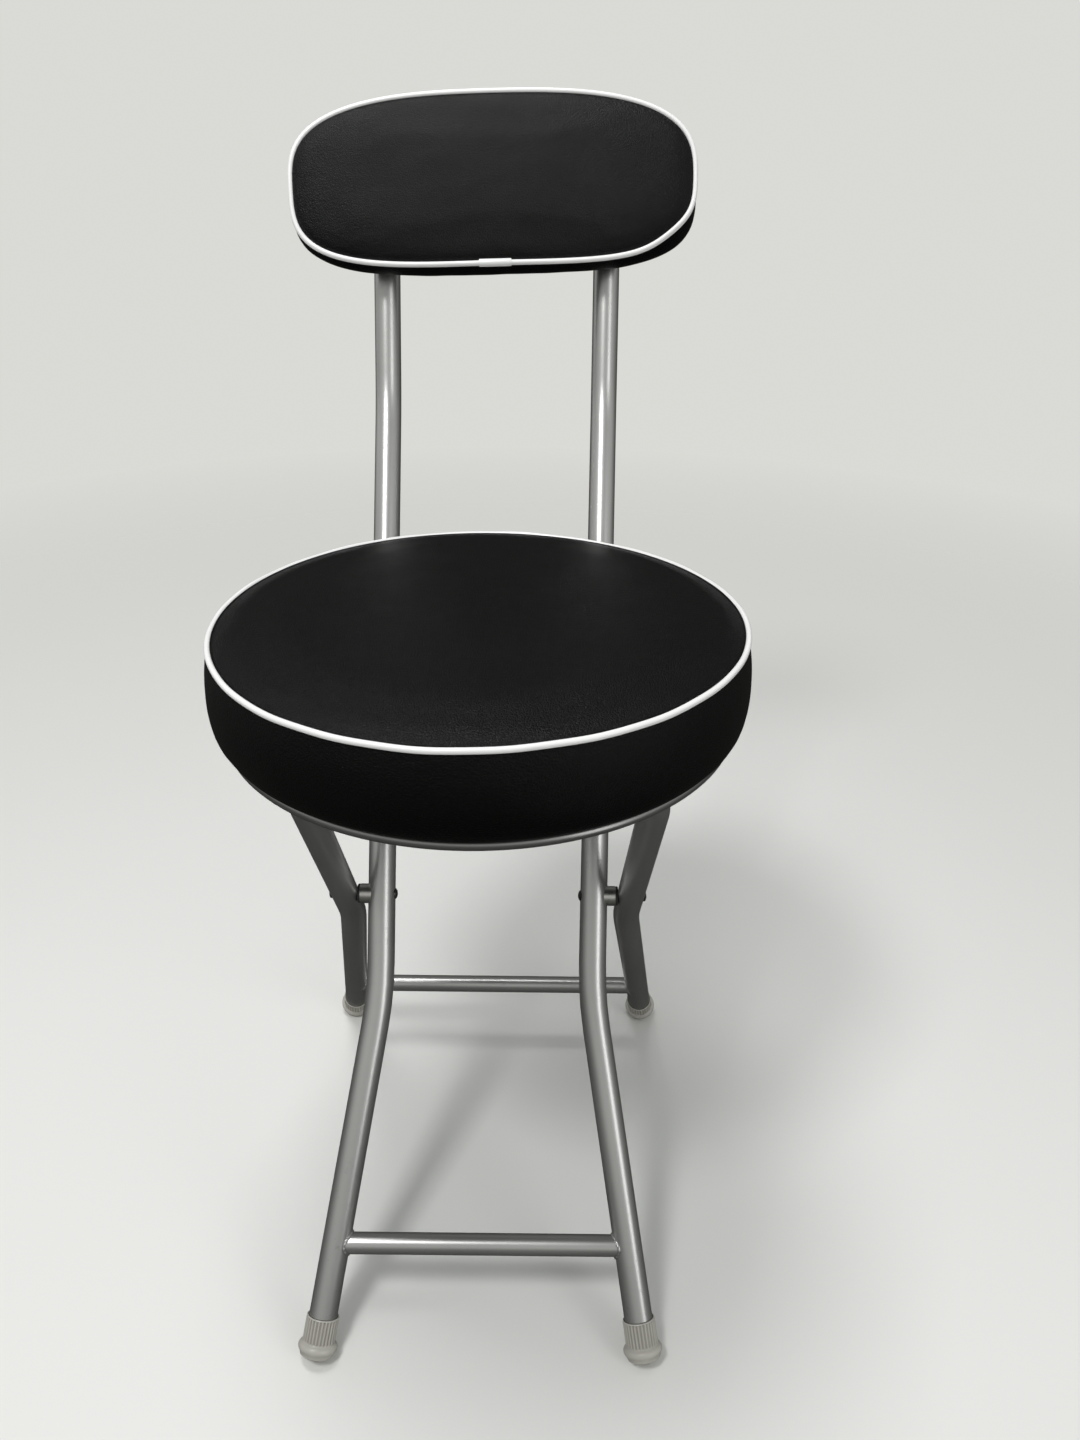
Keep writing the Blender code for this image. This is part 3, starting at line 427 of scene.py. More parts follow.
def start_fresh():
    """Leaves edit mode and deselects everything."""
    if bpy.context.object and bpy.context.object.mode != "OBJECT":
        bpy.ops.object.mode_set(mode="OBJECT")
    bpy.ops.object.select_all(action="DESELECT")


def close_up():
    """Merges the doubled points of the mesh in edit mode and turns its faces outwards."""
    bpy.ops.mesh.select_all(action="SELECT")
    bpy.ops.mesh.remove_doubles(threshold=MERGE)
    bpy.ops.mesh.normals_make_consistent(inside=False)


def settle(name, material, body, replaced=(), angle=35, place=None, final=CHAIR):
    """Finishes the active object: clean mesh, applied place, material, its body and the hiding of the
    nodes it replaces.
    """
    obj = bpy.context.object
    obj.name = name
    obj.data.name = name
    if obj.mode != "EDIT":
        bpy.ops.object.mode_set(mode="EDIT")
    close_up()
    bpy.ops.object.mode_set(mode="OBJECT")
    if place is not None:
        obj.matrix_world = place
        bpy.context.view_layer.update()
    bpy.ops.object.transform_apply(location=True, rotation=True, scale=True)
    if final is not None:
        obj.data.transform(final)
    bpy.ops.object.shade_smooth_by_angle(angle=math.radians(angle))
    obj.data.materials.clear()
    obj.data.materials.append(material)
    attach(obj, body)
    if replaced:
        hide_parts(*replaced)
    return obj


def grow(sizes, step):
    """Extrudes the selected loop by a step and resizes it to the given factors."""
    bpy.ops.mesh.extrude_edges_move(TRANSFORM_OT_translate={"value": step})
    bpy.ops.transform.resize(value=sizes)


def join_ends():
    """Bridges the two open ends of a form whose section goes all the way round."""
    bpy.ops.mesh.select_all(action="DESELECT")
    bpy.ops.mesh.select_non_manifold()
    bpy.ops.mesh.bridge_edge_loops()


def turn_up(profile, sides, wrap=False):
    """A turned form about Z from (radius, height) points, left in edit mode."""
    start_fresh()
    points = [(max(radius, POLE), height) for radius, height in profile]
    bpy.ops.mesh.primitive_circle_add(vertices=sides, radius=points[0][0], location=(0, 0, 0))
    bpy.ops.object.mode_set(mode="EDIT")
    bpy.ops.transform.translate(value=(0, 0, points[0][1]))
    for (radius, height), (wider, higher) in zip(points, points[1:]):
        factor = wider / radius
        grow((factor, factor, 1), (0, 0, higher - height))
    if wrap:
        join_ends()


def towards(direction, at):
    """A place whose +Z runs along a direction."""
    turn = Vector((0, 0, 1)).rotation_difference(Vector(direction)).to_matrix().to_4x4()
    return Matrix.Translation(at) @ turn


def arc_points(centre, radius, start, end, steps):
    """Points on an arc between two angles in degrees."""
    angles = [math.radians(start + (end - start) * k / steps) for k in range(steps + 1)]
    return [(centre[0] + radius * math.cos(a), centre[1] + radius * math.sin(a)) for a in angles]


def radians_of(*degrees):
    return [math.radians(step) for step in degrees]


def bend_tube(corners, radii, radius, sides):
    """A pipe drawn out along straights and spun round its bends, left in edit mode."""
    start_fresh()
    heading = (corners[1] - corners[0]).normalized()
    bpy.ops.mesh.primitive_circle_add(vertices=sides, radius=radius, location=(0, 0, 0))
    bpy.context.object.matrix_world = towards(heading, corners[0])
    bpy.ops.object.transform_apply(location=True, rotation=True, scale=True)
    bpy.ops.object.mode_set(mode="EDIT")
    here = corners[0]
    for corner, after, bend_radius in zip(corners[1:-1], corners[2:], radii):
        back = (here - corner).normalized()
        ahead = (after - corner).normalized()
        angle = math.pi - back.angle(ahead)
        inset = bend_radius * math.tan(angle / 2)
        start = corner + back * inset
        across = (back + ahead).normalized()
        centre = corner + across * (bend_radius / math.cos(angle / 2))
        axis = (start - centre).cross(corner + ahead * inset - centre).normalized()
        bpy.ops.mesh.extrude_edges_move(TRANSFORM_OT_translate={"value": start - here})
        steps = max(3, round(angle / ARC_STEP))
        bpy.ops.mesh.spin(steps=steps, angle=-angle, center=centre, axis=axis)
        here = corner + ahead * inset
    bpy.ops.mesh.extrude_edges_move(TRANSFORM_OT_translate={"value": corners[-1] - here})


def finish_wall(thickness):
    """Gives the open pipe its wall, inwards."""
    bpy.ops.object.mode_set(mode="EDIT")
    close_up()
    bpy.ops.object.mode_set(mode="OBJECT")
    shell = bpy.context.object.modifiers.new("wall", "SOLIDIFY")
    shell.thickness = thickness
    shell.offset = -1
    bpy.ops.object.modifier_apply(modifier=shell.name)


def mirror_x(point):
    return Vector((-point.x, point.y, point.z))


# The two frames

def leg_end(foot, knee):
    """Where a leg's tube ends inside its cap."""
    return foot + (foot - knee).normalized() * (FOOT_SEAT - GAP)


front_corners = [
    Vector((-FRONT_FOOT_HALF, front_y(FRONT_FOOT_Z), FRONT_FOOT_Z)),
    Vector((-inner_half(SPLAY_HEIGHT), front_y(SPLAY_HEIGHT), SPLAY_HEIGHT)),
    Vector((-INNER_HALF_AT_BEND, BACK_BEND.y, BACK_BEND_HEIGHT)),
    Vector((-INNER_HALF_AT_BEND, BACK_TOP.y, BACK_TOP.z)),
]

flare = (REAR_HALF_AT_TOP - REAR_HALF_AT_PIVOT) / (CROSS_BAR_Z - PIVOT_HEIGHT)
rear_bend_z = PIVOT_HEIGHT - REAR_BEND_DROP
rear_corners = [
    Vector((-REAR_FOOT_HALF, rear_y(REAR_FOOT_Z), REAR_FOOT_Z)),
    Vector((-REAR_HALF_AT_PIVOT + flare * REAR_BEND_DROP, rear_y(rear_bend_z), rear_bend_z)),
    Vector((-REAR_HALF_AT_TOP, rear_y(CROSS_BAR_Z), CROSS_BAR_Z)),
]


def frame_tube(name, corners, radii, body, node):
    """One bent tube from the left foot over to the right one."""
    left = [leg_end(corners[0], corners[1])] + corners[1:]
    path = left + [mirror_x(point) for point in left[::-1]]
    bend_tube(path, radii + radii[::-1], TUBE_R, TUBE_SIDES)
    finish_wall(TUBE_WALL)
    settle(name, silver, body, [node])


frame_tube("front_tube", front_corners, FRONT_RADII, "front_frame", "front_frame_tube")
frame_tube("rear_tube", rear_corners, REAR_RADII, "rear_frame", "rear_frame_tube")


def leg_surface(corner_low, corner_high, y, z):
    """X at which a bar's line meets the inner face of the left leg."""
    heading = (corner_high - corner_low).normalized()
    offset = Vector((0, y, z)) - corner_low
    along = Vector((1, 0, 0)) - heading * heading.x
    away = offset - heading * offset.dot(heading)
    a = along.dot(along)
    b = 2 * along.dot(away)
    c = away.dot(away) - TUBE_R ** 2
    spread = max(b * b - 4 * a * c, 0)
    return (-b + math.sqrt(spread)) / (2 * a)


def weld_bead(name, low, high, y, z, bar_r, side, body):
    """A fillet of weld round a bar's end, following the leg and rippled as laid."""
    start_fresh()
    bpy.ops.mesh.primitive_torus_add(
        major_segments=72, minor_segments=10, major_radius=bar_r + 0.0003, minor_radius=0.0010,
        location=(0, 0, 0), rotation=(0, math.radians(90), 0))
    bpy.ops.object.transform_apply(location=True, rotation=True, scale=True)
    for vert in bpy.context.object.data.vertices:
        angle = math.atan2(vert.co.z, vert.co.y)
        ripple = 1 + 0.10 * math.sin(angle * 17 + side) + 0.12 * math.sin(angle * 5 + 2 * side)
        ring = Vector((0, math.cos(angle), math.sin(angle))) * bar_r
        puffed = ring + (vert.co - ring) * ripple
        puffed.x += leg_surface(low, high, y + ring.y, z + ring.z)
        vert.co = Vector((puffed.x * -side, y + puffed.y, z + puffed.z))
    settle(name, silver, body, angle=60)


def cross_tube(name, low, high, y, z, bar_r, body, node):
    """A straight bar whose ends are buried in the leg walls, with a weld at each."""
    reach = abs(leg_surface(low, high, y, z)) + TUBE_R * 0.32
    turn_up([(bar_r, -reach), (bar_r, reach)], BAR_SIDES)
    finish_wall(BAR_WALL)
    settle(name, silver, body, [node], place=towards((1, 0, 0), (0, y, z)))
    for side, label in ((-1, "left"), (1, "right")):
        weld_bead("%s_weld_%s" % (name, label), low, high, y, z, bar_r, side, body)


cross_tube("front_stretcher_tube", front_corners[0], front_corners[1], front_y(FRONT_STRETCHER_HEIGHT),
           FRONT_STRETCHER_HEIGHT, STRETCHER_R, "front_frame", "front_stretcher")
cross_tube("rear_stretcher_tube", rear_corners[0], rear_corners[1], rear_y(REAR_STRETCHER_HEIGHT),
           REAR_STRETCHER_HEIGHT, STRETCHER_R, "rear_frame", "rear_stretcher")
cross_tube("rest_bar_tube", front_corners[1], front_corners[2], front_y(REST_BAR_Z),
           REST_BAR_Z, REST_BAR_R, "front_frame", "seat_rest_bar")


# Feet

def foot_cap(name, foot, knee, body, node):
    """A moulded cap: domed sole, fat rolled flange and a ribbed collar up the tube."""
    flange = FOOT_FLANGE_R
    rim = -math.sqrt(FOOT_DOME_R ** 2 - flange ** 2)
    collar = TUBE_R + GAP + FOOT_COLLAR_WALL
    top = -FOOT_SEAT + FOOT_COLLAR_LENGTH
    shoulder = rim + FOOT_FLANGE_HEIGHT
    roll = FOOT_FLANGE_HEIGHT / 2
    widest = math.degrees(math.asin(flange / FOOT_DOME_R))
    dome = arc_points((0, 0), FOOT_DOME_R, -90, -90 + widest - 9, 9)
    bead = arc_points((flange - roll, rim + roll), roll, -52, 66, 12)
    neck = [(collar + 0.0001, shoulder - 0.0001), (collar - 0.0003, shoulder + 0.0004)]
    ribbed = [(collar, shoulder + 0.0011), (collar, top - 0.0012)]
    head = [(collar - 0.0001, top - 0.0007), (collar - 0.0003, top - 0.0002), (collar - 0.0005, top)]
    mouth = TUBE_R + 0.0005
    bore = [(mouth, top - 0.0001), (mouth, top - 0.0035), (TUBE_R + 0.0001, top - 0.0036),
            (TUBE_R + 0.0001, -FOOT_SEAT), (0, -FOOT_SEAT)]
    turn_up(dome + bead + neck + ribbed + head + bore, FOOT_RIBS * 4)
    bpy.ops.object.mode_set(mode="OBJECT")
    low, high = shoulder + 0.0009, top - 0.0010
    # The sunk points of the ribs are marked, so that the cap's colour carries painted shade in the
    # grooves.
    groove = bpy.context.object.data.attributes.new("groove", "FLOAT", "POINT")
    for vert in bpy.context.object.data.vertices:
        radius = math.hypot(vert.co.x, vert.co.y)
        if low < vert.co.z < high and radius > collar - 0.0002:
            turn = round(math.atan2(vert.co.y, vert.co.x) / (2 * math.pi) * FOOT_RIBS * 4)
            if turn % 4 in (0, 1):
                vert.co.x *= (radius - RIB_DEPTH) / radius
                vert.co.y *= (radius - RIB_DEPTH) / radius
                groove.data[vert.index].value = 1.0
    settle(name, grey_cap, body, [node], angle=28, place=towards(knee - foot, foot))
    bpy.ops.object.mode_set(mode="EDIT")
    bpy.ops.mesh.select_all(action="SELECT")
    bpy.ops.mesh.bisect(plane_co=(0, 0, 0), plane_no=(0, 0, 1), use_fill=True, clear_inner=True)
    bpy.ops.object.mode_set(mode="OBJECT")


for label in ("left", "right"):
    for end, corners in (("front", front_corners), ("rear", rear_corners)):
        foot, knee = corners[:2]
        if label == "right":
            foot, knee = mirror_x(foot), mirror_x(knee)
        foot_cap("cap_%s_%s" % (end, label), foot, knee, end + "_frame", "foot_%s_%s" % (end, label))


# Seat

def seat_pan():
    """A pressed disc with a rolled rim."""
    bead = (PAN_EDGE_R - PAN_BEAD_R, PAN_TOP - PAN_BEAD_R)
    outside = arc_points(bead, PAN_BEAD_R, 90, -120, 14)
    inside = arc_points(bead, PAN_BEAD_R - 0.0012, -120, 90, 12)
    turn_up([(0, PAN_TOP)] + outside + inside + [(0, PAN_UNDERSIDE)], 144)
    settle("pan", pan_painted_shade_silver, "seat", ["seat_pan"])


seat_pan()


def plump(obj, held, cap):
    """Blows the cover up a little as cloth, with its seams held, then keeps the shape."""
    start = [vert.co.copy() for vert in obj.data.vertices]
    seams = obj.vertex_groups.new(name="seams")
    seams.add([vert.index for vert in obj.data.vertices if held(vert.co)], 1.0, "REPLACE")
    cloth = obj.modifiers.new("cloth", "CLOTH")
    cloth.settings.use_pressure = True
    cloth.settings.uniform_pressure_force = PRESSURE
    cloth.settings.vertex_group_mass = "seams"
    cloth.settings.effector_weights.gravity = 0
    cloth.settings.quality = 6
    cloth.settings.tension_stiffness = 24
    cloth.settings.compression_stiffness = 24
    cloth.settings.bending_stiffness = 0.6
    cloth.collision_settings.use_collision = False
    scene = bpy.context.scene
    for step in range(1, CLOTH_STEPS + 1):
        scene.frame_set(step)
    blown = obj.evaluated_get(bpy.context.evaluated_depsgraph_get()).to_mesh()
    moved = [vert.co.copy() for vert in blown.vertices]
    obj.modifiers.remove(cloth)
    obj.vertex_groups.remove(seams)
    scene.frame_set(1)
    shifts = [new - old for old, new in zip(start, moved)]
    for smoothing in range(SMOOTHINGS):
        sums = [shift.copy() for shift in shifts]
        counts = [1] * len(shifts)
        for edge in obj.data.edges:
            first, second = edge.vertices
            sums[first] += shifts[second]
            sums[second] += shifts[first]
            counts[first] += 1
            counts[second] += 1
        shifts = [total / count for total, count in zip(sums, counts)]
    for vert, old, shift in zip(obj.data.vertices, start, shifts):
        if shift.length > cap:
            shift = shift * (cap / shift.length)
        vert.co = old + shift


def uneven(obj, amount, scale, keep):
    """Slight hollows and swells, as foam under a stretched cover has."""
    for vert in obj.data.vertices:
        share = keep(vert.co)
        if share > 0:
            swell = noise.noise(vert.co * scale) + 0.5 * noise.noise(vert.co * scale * 2.3)
            vert.co += vert.normal * swell * amount * share


def puckers(obj, ring, count):
    """Faint gathers in the band just under the piping, uneven round the seat."""
    for vert in obj.data.vertices:
        drop = PIPING_HEIGHT - vert.co.z
        radius = math.hypot(vert.co.x, vert.co.y)
        if 0.0025 < drop < 0.020 and radius > ring - 0.004:
            angle = math.atan2(vert.co.y, vert.co.x)
            wave = math.sin(angle * count + 2.2 * math.sin(angle * 3)) * math.sin(angle * 7 + 1)
            fade = math.sin(math.pi * (drop - 0.0025) / 0.0175) ** 2
            push = 0.00016 * wave * fade
            vert.co.x *= 1 + push / radius
            vert.co.y *= 1 + push / radius


def edge_lift(x, y):
    """How far the sewn edge strays from level round the front of the seat."""
    from_front = math.atan2(x, -y)
    return (1 + math.cos(from_front)) / 2 * (0.0013 + 0.0026 * math.sin(from_front))


def seat_cover():
    """Top panel, groove for the piping, and the upright band, drawn in at the foot."""
    ring = PIPING_RING_R
    clear = PIPING_R + 0.0002
    middle = PIPING_HEIGHT + SEAT_CROWN
    reach = ring - PIPING_R * 1.25
    top = []
    for k in range(27):
        share = math.sin(math.pi / 2 * k / 27)
        fall = 0.18 * share ** 2 + 0.76 * share ** 15
        top.append((reach * share, middle - SEAT_CROWN * fall))
    groove = arc_points((ring, PIPING_HEIGHT), clear, 148, 284, 9)
    band = [(0.1537, 0.9630), (0.1545, 0.91), (0.1554, 0.84), (0.1563, 0.76), (0.1570, 0.68),
            (0.1575, 0.60), (0.1578, 0.52), (0.1580, 0.44), (0.1580, 0.36), (0.1577, 0.28),
            (0.1571, 0.20), (0.1561, 0.13), (0.1546, 0.07), (0.1528, 0.025), (0.1506, 0.0)]
    rise = PIPING_HEIGHT - CUSHION_BASE
    side = [(radius, CUSHION_BASE + rise * share) for radius, share in band]
    base = [(0.120, CUSHION_BASE), (0.060, CUSHION_BASE), (0.0, CUSHION_BASE)]
    turn_up(top + groove + side + base, 176)
    cover = settle("seat_cover", vinyl, "seat", ["seat_cushion"], angle=75, final=None)

    def seam(point):
        radius = math.hypot(point.x, point.y)
        near = math.hypot(radius - ring, point.z - PIPING_HEIGHT) < PIPING_R * 2.2
        return near or point.z < CUSHION_BASE + 0.002

    plump(cover, seam, SEAT_SHIFT)

    def panel(point):
        radius = math.hypot(point.x, point.y)
        if point.z < CUSHION_BASE + 0.003:
            return 0
        gap = math.hypot(radius - ring, point.z - PIPING_HEIGHT)
        return min(1, max(0, (gap - 0.003) / 0.012))

    uneven(cover, 0.00045, 24.0, panel)
    puckers(cover, ring, 58)
    for vert in cover.data.vertices:
        radius = math.hypot(vert.co.x, vert.co.y)
        height = min(1, (vert.co.z - CUSHION_BASE) / (PIPING_HEIGHT - CUSHION_BASE))
        vert.co.z += edge_lift(vert.co.x, vert.co.y) * height * min(1, radius / ring) ** 2
    cover.data.transform(CHAIR)


seat_cover()


def piping_ring():
    """The cord sewn into the seat's edge, slightly wavy."""
    start_fresh()
    bpy.ops.mesh.primitive_torus_add(
        major_segments=220, minor_segments=16, major_radius=PIPING_RING_R, minor_radius=PIPING_R,
        location=(0, 0, 0))
    for vert in bpy.context.object.data.vertices:
        angle = math.atan2(vert.co.y, vert.co.x)
        vert.co.z += 0.00018 * math.sin(angle * 9 + 1) + 0.00012 * math.sin(angle * 23)
        vert.co.z += edge_lift(vert.co.x, vert.co.y)
    settle("seat_piping_cord", white, "seat", ["seat_piping"], angle=60,
           place=Matrix.Translation((0, 0, PIPING_HEIGHT)))


piping_ring()


# Backrest

PAD_PLACE = (Matrix.Translation(BACK_BEND + BACK_AXIS * PAD_RISE + Vector((PAD_SHIFT, 0, 0)))
             @ Matrix.Rotation(-BACK_LEAN, 4, "X") @ Matrix.Rotation(-PAD_TURN, 4, "Y"))


def pad_edge(angle, inset):
    """A point of the pad's outline, across and up from its middle."""
    c, s = math.cos(angle), math.sin(angle)
    power = 2 / PAD_SQUARENESS
    u = (PAD_HALF_WIDTH - inset) * math.copysign(abs(c) ** power, c)
    w = (PAD_HALF_HEIGHT - inset) * math.copysign(abs(s) ** power, s)
    return u, w


def even_angles(count, inset):
    """Angles that share the outline's length evenly, so that no facet is long."""
    fine = 4000
    points = [pad_edge(2 * math.pi * k / fine, inset) for k in range(fine + 1)]
    run = [0.0]
    for (u0, w0), (u1, w1) in zip(points, points[1:]):
        run.append(run[-1] + math.hypot(u1 - u0, w1 - w0))
    angles = []
    index = 0
    for k in range(count):
        target = run[-1] * k / count
        while run[index + 1] < target:
            index += 1
        part = (target - run[index]) / max(run[index + 1] - run[index], 1e-12)
        angles.append(2 * math.pi * (index + part) / fine)
    return angles


PAD_COUNT = 192
PAD_ANGLES = even_angles(PAD_COUNT, PIPING_R)


def pad_level(u, w):
    """0 in the pad's middle and 1 on the outline, for u and w of -1 to 1."""
    return (abs(u) ** PAD_SQUARENESS + abs(w) ** PAD_SQUARENESS) ** (1 / PAD_SQUARENESS)


def bow(mesh):
    """Drops the ends, draws the sewn edge in at one lower corner and swells the side below it."""
    for vert in mesh.vertices:
        u, w = vert.co.x / PAD_HALF_WIDTH, vert.co.z / PAD_HALF_HEIGHT
        level = min(1, pad_level(u, w))
        front = min(1, max(0, (-vert.co.y - PAD_REAR) / (PAD_FRONT - PAD_REAR)))
        pull = CORNER_PULL * front ** 3 * level ** 3 * math.exp(
            -((u - 0.92) / 0.18) ** 2 - ((w + 0.66) / 0.38) ** 2)
        swell = SIDE_SWELL * math.sin(math.pi * front) * level ** 6 * max(0, -w)
        vert.co.x += math.copysign(swell * abs(u) ** 4, u) - pull * 0.75
        vert.co.z += pull * 0.65 - swell - PAD_BOW * u ** 2


def stack_pad(rings):
    """A form grown from the pad's outline; each ring is (inset, share, depth)."""
    start_fresh()
    bpy.ops.mesh.primitive_circle_add(vertices=PAD_COUNT, radius=1.0, location=(0, 0, 0))
    inset, share, depth = rings[0]
    for vert, angle in zip(bpy.context.object.data.vertices, PAD_ANGLES):
        u, w = pad_edge(angle, inset)
        vert.co = Vector((u * share, -depth, w * share))
    bpy.ops.object.mode_set(mode="EDIT")

    def spans(ring):
        return (PAD_HALF_WIDTH - ring[0]) * ring[1], (PAD_HALF_HEIGHT - ring[0]) * ring[1]

    for ring, after in zip(rings, rings[1:]):
        (wide, tall), (wider, taller) = spans(ring), spans(after)
        grow((wider / wide, 1, taller / tall), (0, ring[2] - after[2], 0))
    bpy.ops.object.mode_set(mode="OBJECT")


def pad_cover():
    """Crowned face, groove for the piping, bulged sides and a flat rear."""
    clear = PIPING_R + 0.0002
    inner = PIPING_R * 2.05
    shoulder = inner + 0.010
    rings = [(shoulder, 0.0006, PAD_FRONT + PAD_CROWN)]
    for k in range(1, 15):
        rings.append((shoulder, k / 14, PAD_FRONT + PAD_CROWN * (1 - 0.26 * (k / 14) ** 2)))
    for k in range(1, 9):
        drop = 0.26 + 0.66 * (1 - math.cos(math.pi / 2 * k / 8.4))
        rings.append((shoulder - 0.010 * k / 8.6, 1.0, PAD_FRONT + PAD_CROWN * (1 - drop)))
    for across, out in arc_points((0, 0), clear, 150, 282, 8):
        rings.append((PIPING_R - across, 1.0, PAD_SEAM + out))
    thick = PAD_FRONT - PAD_REAR
    for inset, share in ((0.0016, 0.13), (0.0009, 0.22), (0.0004, 0.32), (0.0002, 0.43),
                         (0.0002, 0.54), (0.0004, 0.65), (0.0009, 0.76), (0.0017, 0.86),
                         (0.0027, 0.94), (0.0042, 1.0)):
        rings.append((inset, 1.0, PAD_FRONT - thick * share))
    rings += [(0.0072, 1.0, PAD_REAR), (0.0072, 1.0, PAD_REAR + 0.0003),
              (0.0072, 0.6, PAD_REAR + 0.0003), (0.0072, 0.0006, PAD_REAR + 0.0003)]
    stack_pad(rings)
    cover = settle("backrest_cover", vinyl, "front_frame", ["backrest_cushion"],
                   angle=75, final=None)

    def groove_gap(point):
        level = pad_level(point.x / (PAD_HALF_WIDTH - PIPING_R), point.z / (PAD_HALF_HEIGHT - PIPING_R))
        return math.hypot((level - 1) * PAD_HALF_HEIGHT, -point.y - PAD_SEAM)

    def held(point):
        return groove_gap(point) < PIPING_R * 2.4 or -point.y < PAD_REAR + 0.002

    plump(cover, held, PAD_COVER_SHIFT)

    def panel(point):
        if -point.y < PAD_REAR + 0.003:
            return 0
        return min(1, max(0, (groove_gap(point) - 0.003) / 0.010))

    uneven(cover, 0.00042, 30.0, panel)
    bow(cover.data)
    cover.data.transform(CHAIR @ PAD_PLACE)


pad_cover()


def pad_piping():
    """A cord laid in the groove round the face, with its joint's sleeve at the foot."""
    stack_pad([(PIPING_R - across, 1.0, PAD_SEAM + out)
               for across, out in arc_points((0, 0), PIPING_R, 0, 337.5, 15)])
    bpy.ops.object.mode_set(mode="EDIT")
    join_ends()
    bpy.ops.object.mode_set(mode="OBJECT")
    bow(bpy.context.object.data)
    settle("backrest_piping_cord", white, "front_frame", ["backrest_piping"],
           angle=60, place=PAD_PLACE)

    inner = PIPING_R + 0.0002
    outer = PIPING_R + 0.0009
    half = SLEEVE_LENGTH / 2
    turn_up([(inner, -half), (outer - 0.0002, -half), (outer, -half + 0.0005), (outer, 0.0),
             (outer, half - 0.0005), (outer - 0.0002, half), (inner, half), (inner, 0.0)], 28, wrap=True)
    foot = Matrix.Translation((0, -PAD_SEAM, -(PAD_HALF_HEIGHT - PIPING_R)))
    settle("piping_sleeve", white, "front_frame", ["piping_joint_sleeve"], angle=40,
           place=PAD_PLACE @ foot @ Matrix.Rotation(math.radians(90), 4, "Y"))


pad_piping()


# Pivots

def on_pivot(name, profile, material, side, node):
    """A turned piece on the pivot's axis; its heights are distances from the middle."""
    turn_up(profile, TUBE_SIDES)
    settle(name, material, "front_frame", [node], angle=32,
           place=towards((side, 0, 0), (0, PIVOT_Y, PIVOT_HEIGHT)))


def pivot(side, label):
    """Rivet head inside, spacer between the frames, thin washer, and a small domed end."""
    tube_in = INNER_HALF_AT_PIVOT - TUBE_R
    tube_out = INNER_HALF_AT_PIVOT + TUBE_R
    rear_in = REAR_HALF_AT_PIVOT - TUBE_R
    rear_out = REAR_HALF_AT_PIVOT + TUBE_R
    head = [(0, tube_in - 0.0016)] + [
        (0.0039 * math.sin(a), tube_in + 0.0004 - 0.0020 * math.cos(a))
        for a in radians_of(12, 26, 40, 54, 68, 80, 90)]
    head += [(0.0039, tube_in + 0.0008), (0.0025, tube_in + 0.0012), (0.0025, rear_out), (0, rear_out)]
    on_pivot("pivot_rivet_" + label, head, blackened, side, "pivot_bolt_" + label)
    on_pivot("pivot_tube_" + label, [
        (0.0029, tube_out - 0.0028), (0.0069, tube_out - 0.0028), (0.0069, rear_in - 0.0016),
        (0.0066, rear_in - 0.0012), (0.0029, rear_in - 0.0012), (0.0029, tube_out - 0.0029)],
        steel, side, "pivot_spacer_" + label)
    on_pivot("pivot_shim_" + label, [
        (0.0029, rear_in - 0.0012), (0.0064, rear_in - 0.0012), (0.0067, rear_in - 0.0009),
        (0.0067, rear_in - 0.0001), (0.0064, rear_in + 0.0004), (0.0029, rear_in + 0.0004),
        (0.0029, rear_in - 0.0011)], moulded, side, "pivot_washer_" + label)
    dome = [(0.0026, rear_out - 0.0004), (0.0036, rear_out - 0.0004)] + [
        (0.0036 * math.cos(a), rear_out + 0.0002 + 0.0015 * math.sin(a))
        for a in radians_of(0, 14, 28, 42, 56, 70, 82)]
    dome += [(0, rear_out + 0.0017)]
    on_pivot("pivot_end_" + label, [(0, rear_out - 0.0004)] + dome, blackened, side,
             "pivot_nut_" + label)


pivot(-1, "left")
pivot(1, "right")


# Screws

def cross_head(name, head_r, head_h, shank_r, length):
    """A pan head with a cross recess, its shank up +Z from the head's seat."""
    profile = [(0, -head_h)] + [
        (head_r * math.sin(a), -head_h * 0.25 - head_h * 0.75 * math.cos(a))
        for a in radians_of(15, 30, 45, 60, 75, 88)]
    profile += [(head_r, -head_h * 0.08), (head_r * 0.985, 0), (shank_r, 0),
                (shank_r, length - 0.001), (shank_r * 0.5, length), (0, length)]
    turn_up(profile, BAR_SIDES)
    close_up()
    bpy.ops.object.mode_set(mode="OBJECT")
    head = bpy.context.object
    head.name = name
    slots = []
    for turn in (0, 90):
        start_fresh()
        bpy.ops.mesh.primitive_cube_add(size=1, location=(0, 0, -head_h))
        slot = bpy.context.object
        slot.scale = (head_r * 1.15, head_r * 0.24, head_h * 1.1)
        slot.rotation_euler = (0, 0, math.radians(turn + 20))
        bpy.ops.object.transform_apply(location=True, rotation=True, scale=True)
        slots.append(slot)
    for slot in slots:
        recess = head.modifiers.new("recess", "BOOLEAN")
        recess.operation = "DIFFERENCE"
        recess.solver = "EXACT"
        recess.object = slot
        with bpy.context.temp_override(object=head, active_object=head):
            bpy.ops.object.modifier_apply(modifier=recess.name)
        bpy.data.objects.remove(slot)
    return head


def lay_screw(pattern, name, place, body, node):
    """A copy of a screw, set where its node lies and turned to it."""
    screw = bpy.data.objects.new(name, pattern.data.copy())
    bpy.context.scene.collection.objects.link(screw)
    start_fresh()
    bpy.context.view_layer.objects.active = screw
    screw.select_set(True)
    settle(name, steel, body, [node], angle=40, place=place)


seat_screw = cross_head("seat_screw_pattern", head_r=0.0039, head_h=0.0022, shank_r=0.0020, length=0.0090)
back_screw = cross_head("back_screw_pattern", head_r=0.0046, head_h=0.0030, shank_r=0.0025, length=0.0200)


def middle_of(node):
    """A node's middle, in the level frame that places are worked out in."""
    low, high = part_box(node)
    return CHAIR.inverted() @ ((Vector(low) + Vector(high)) / 2)


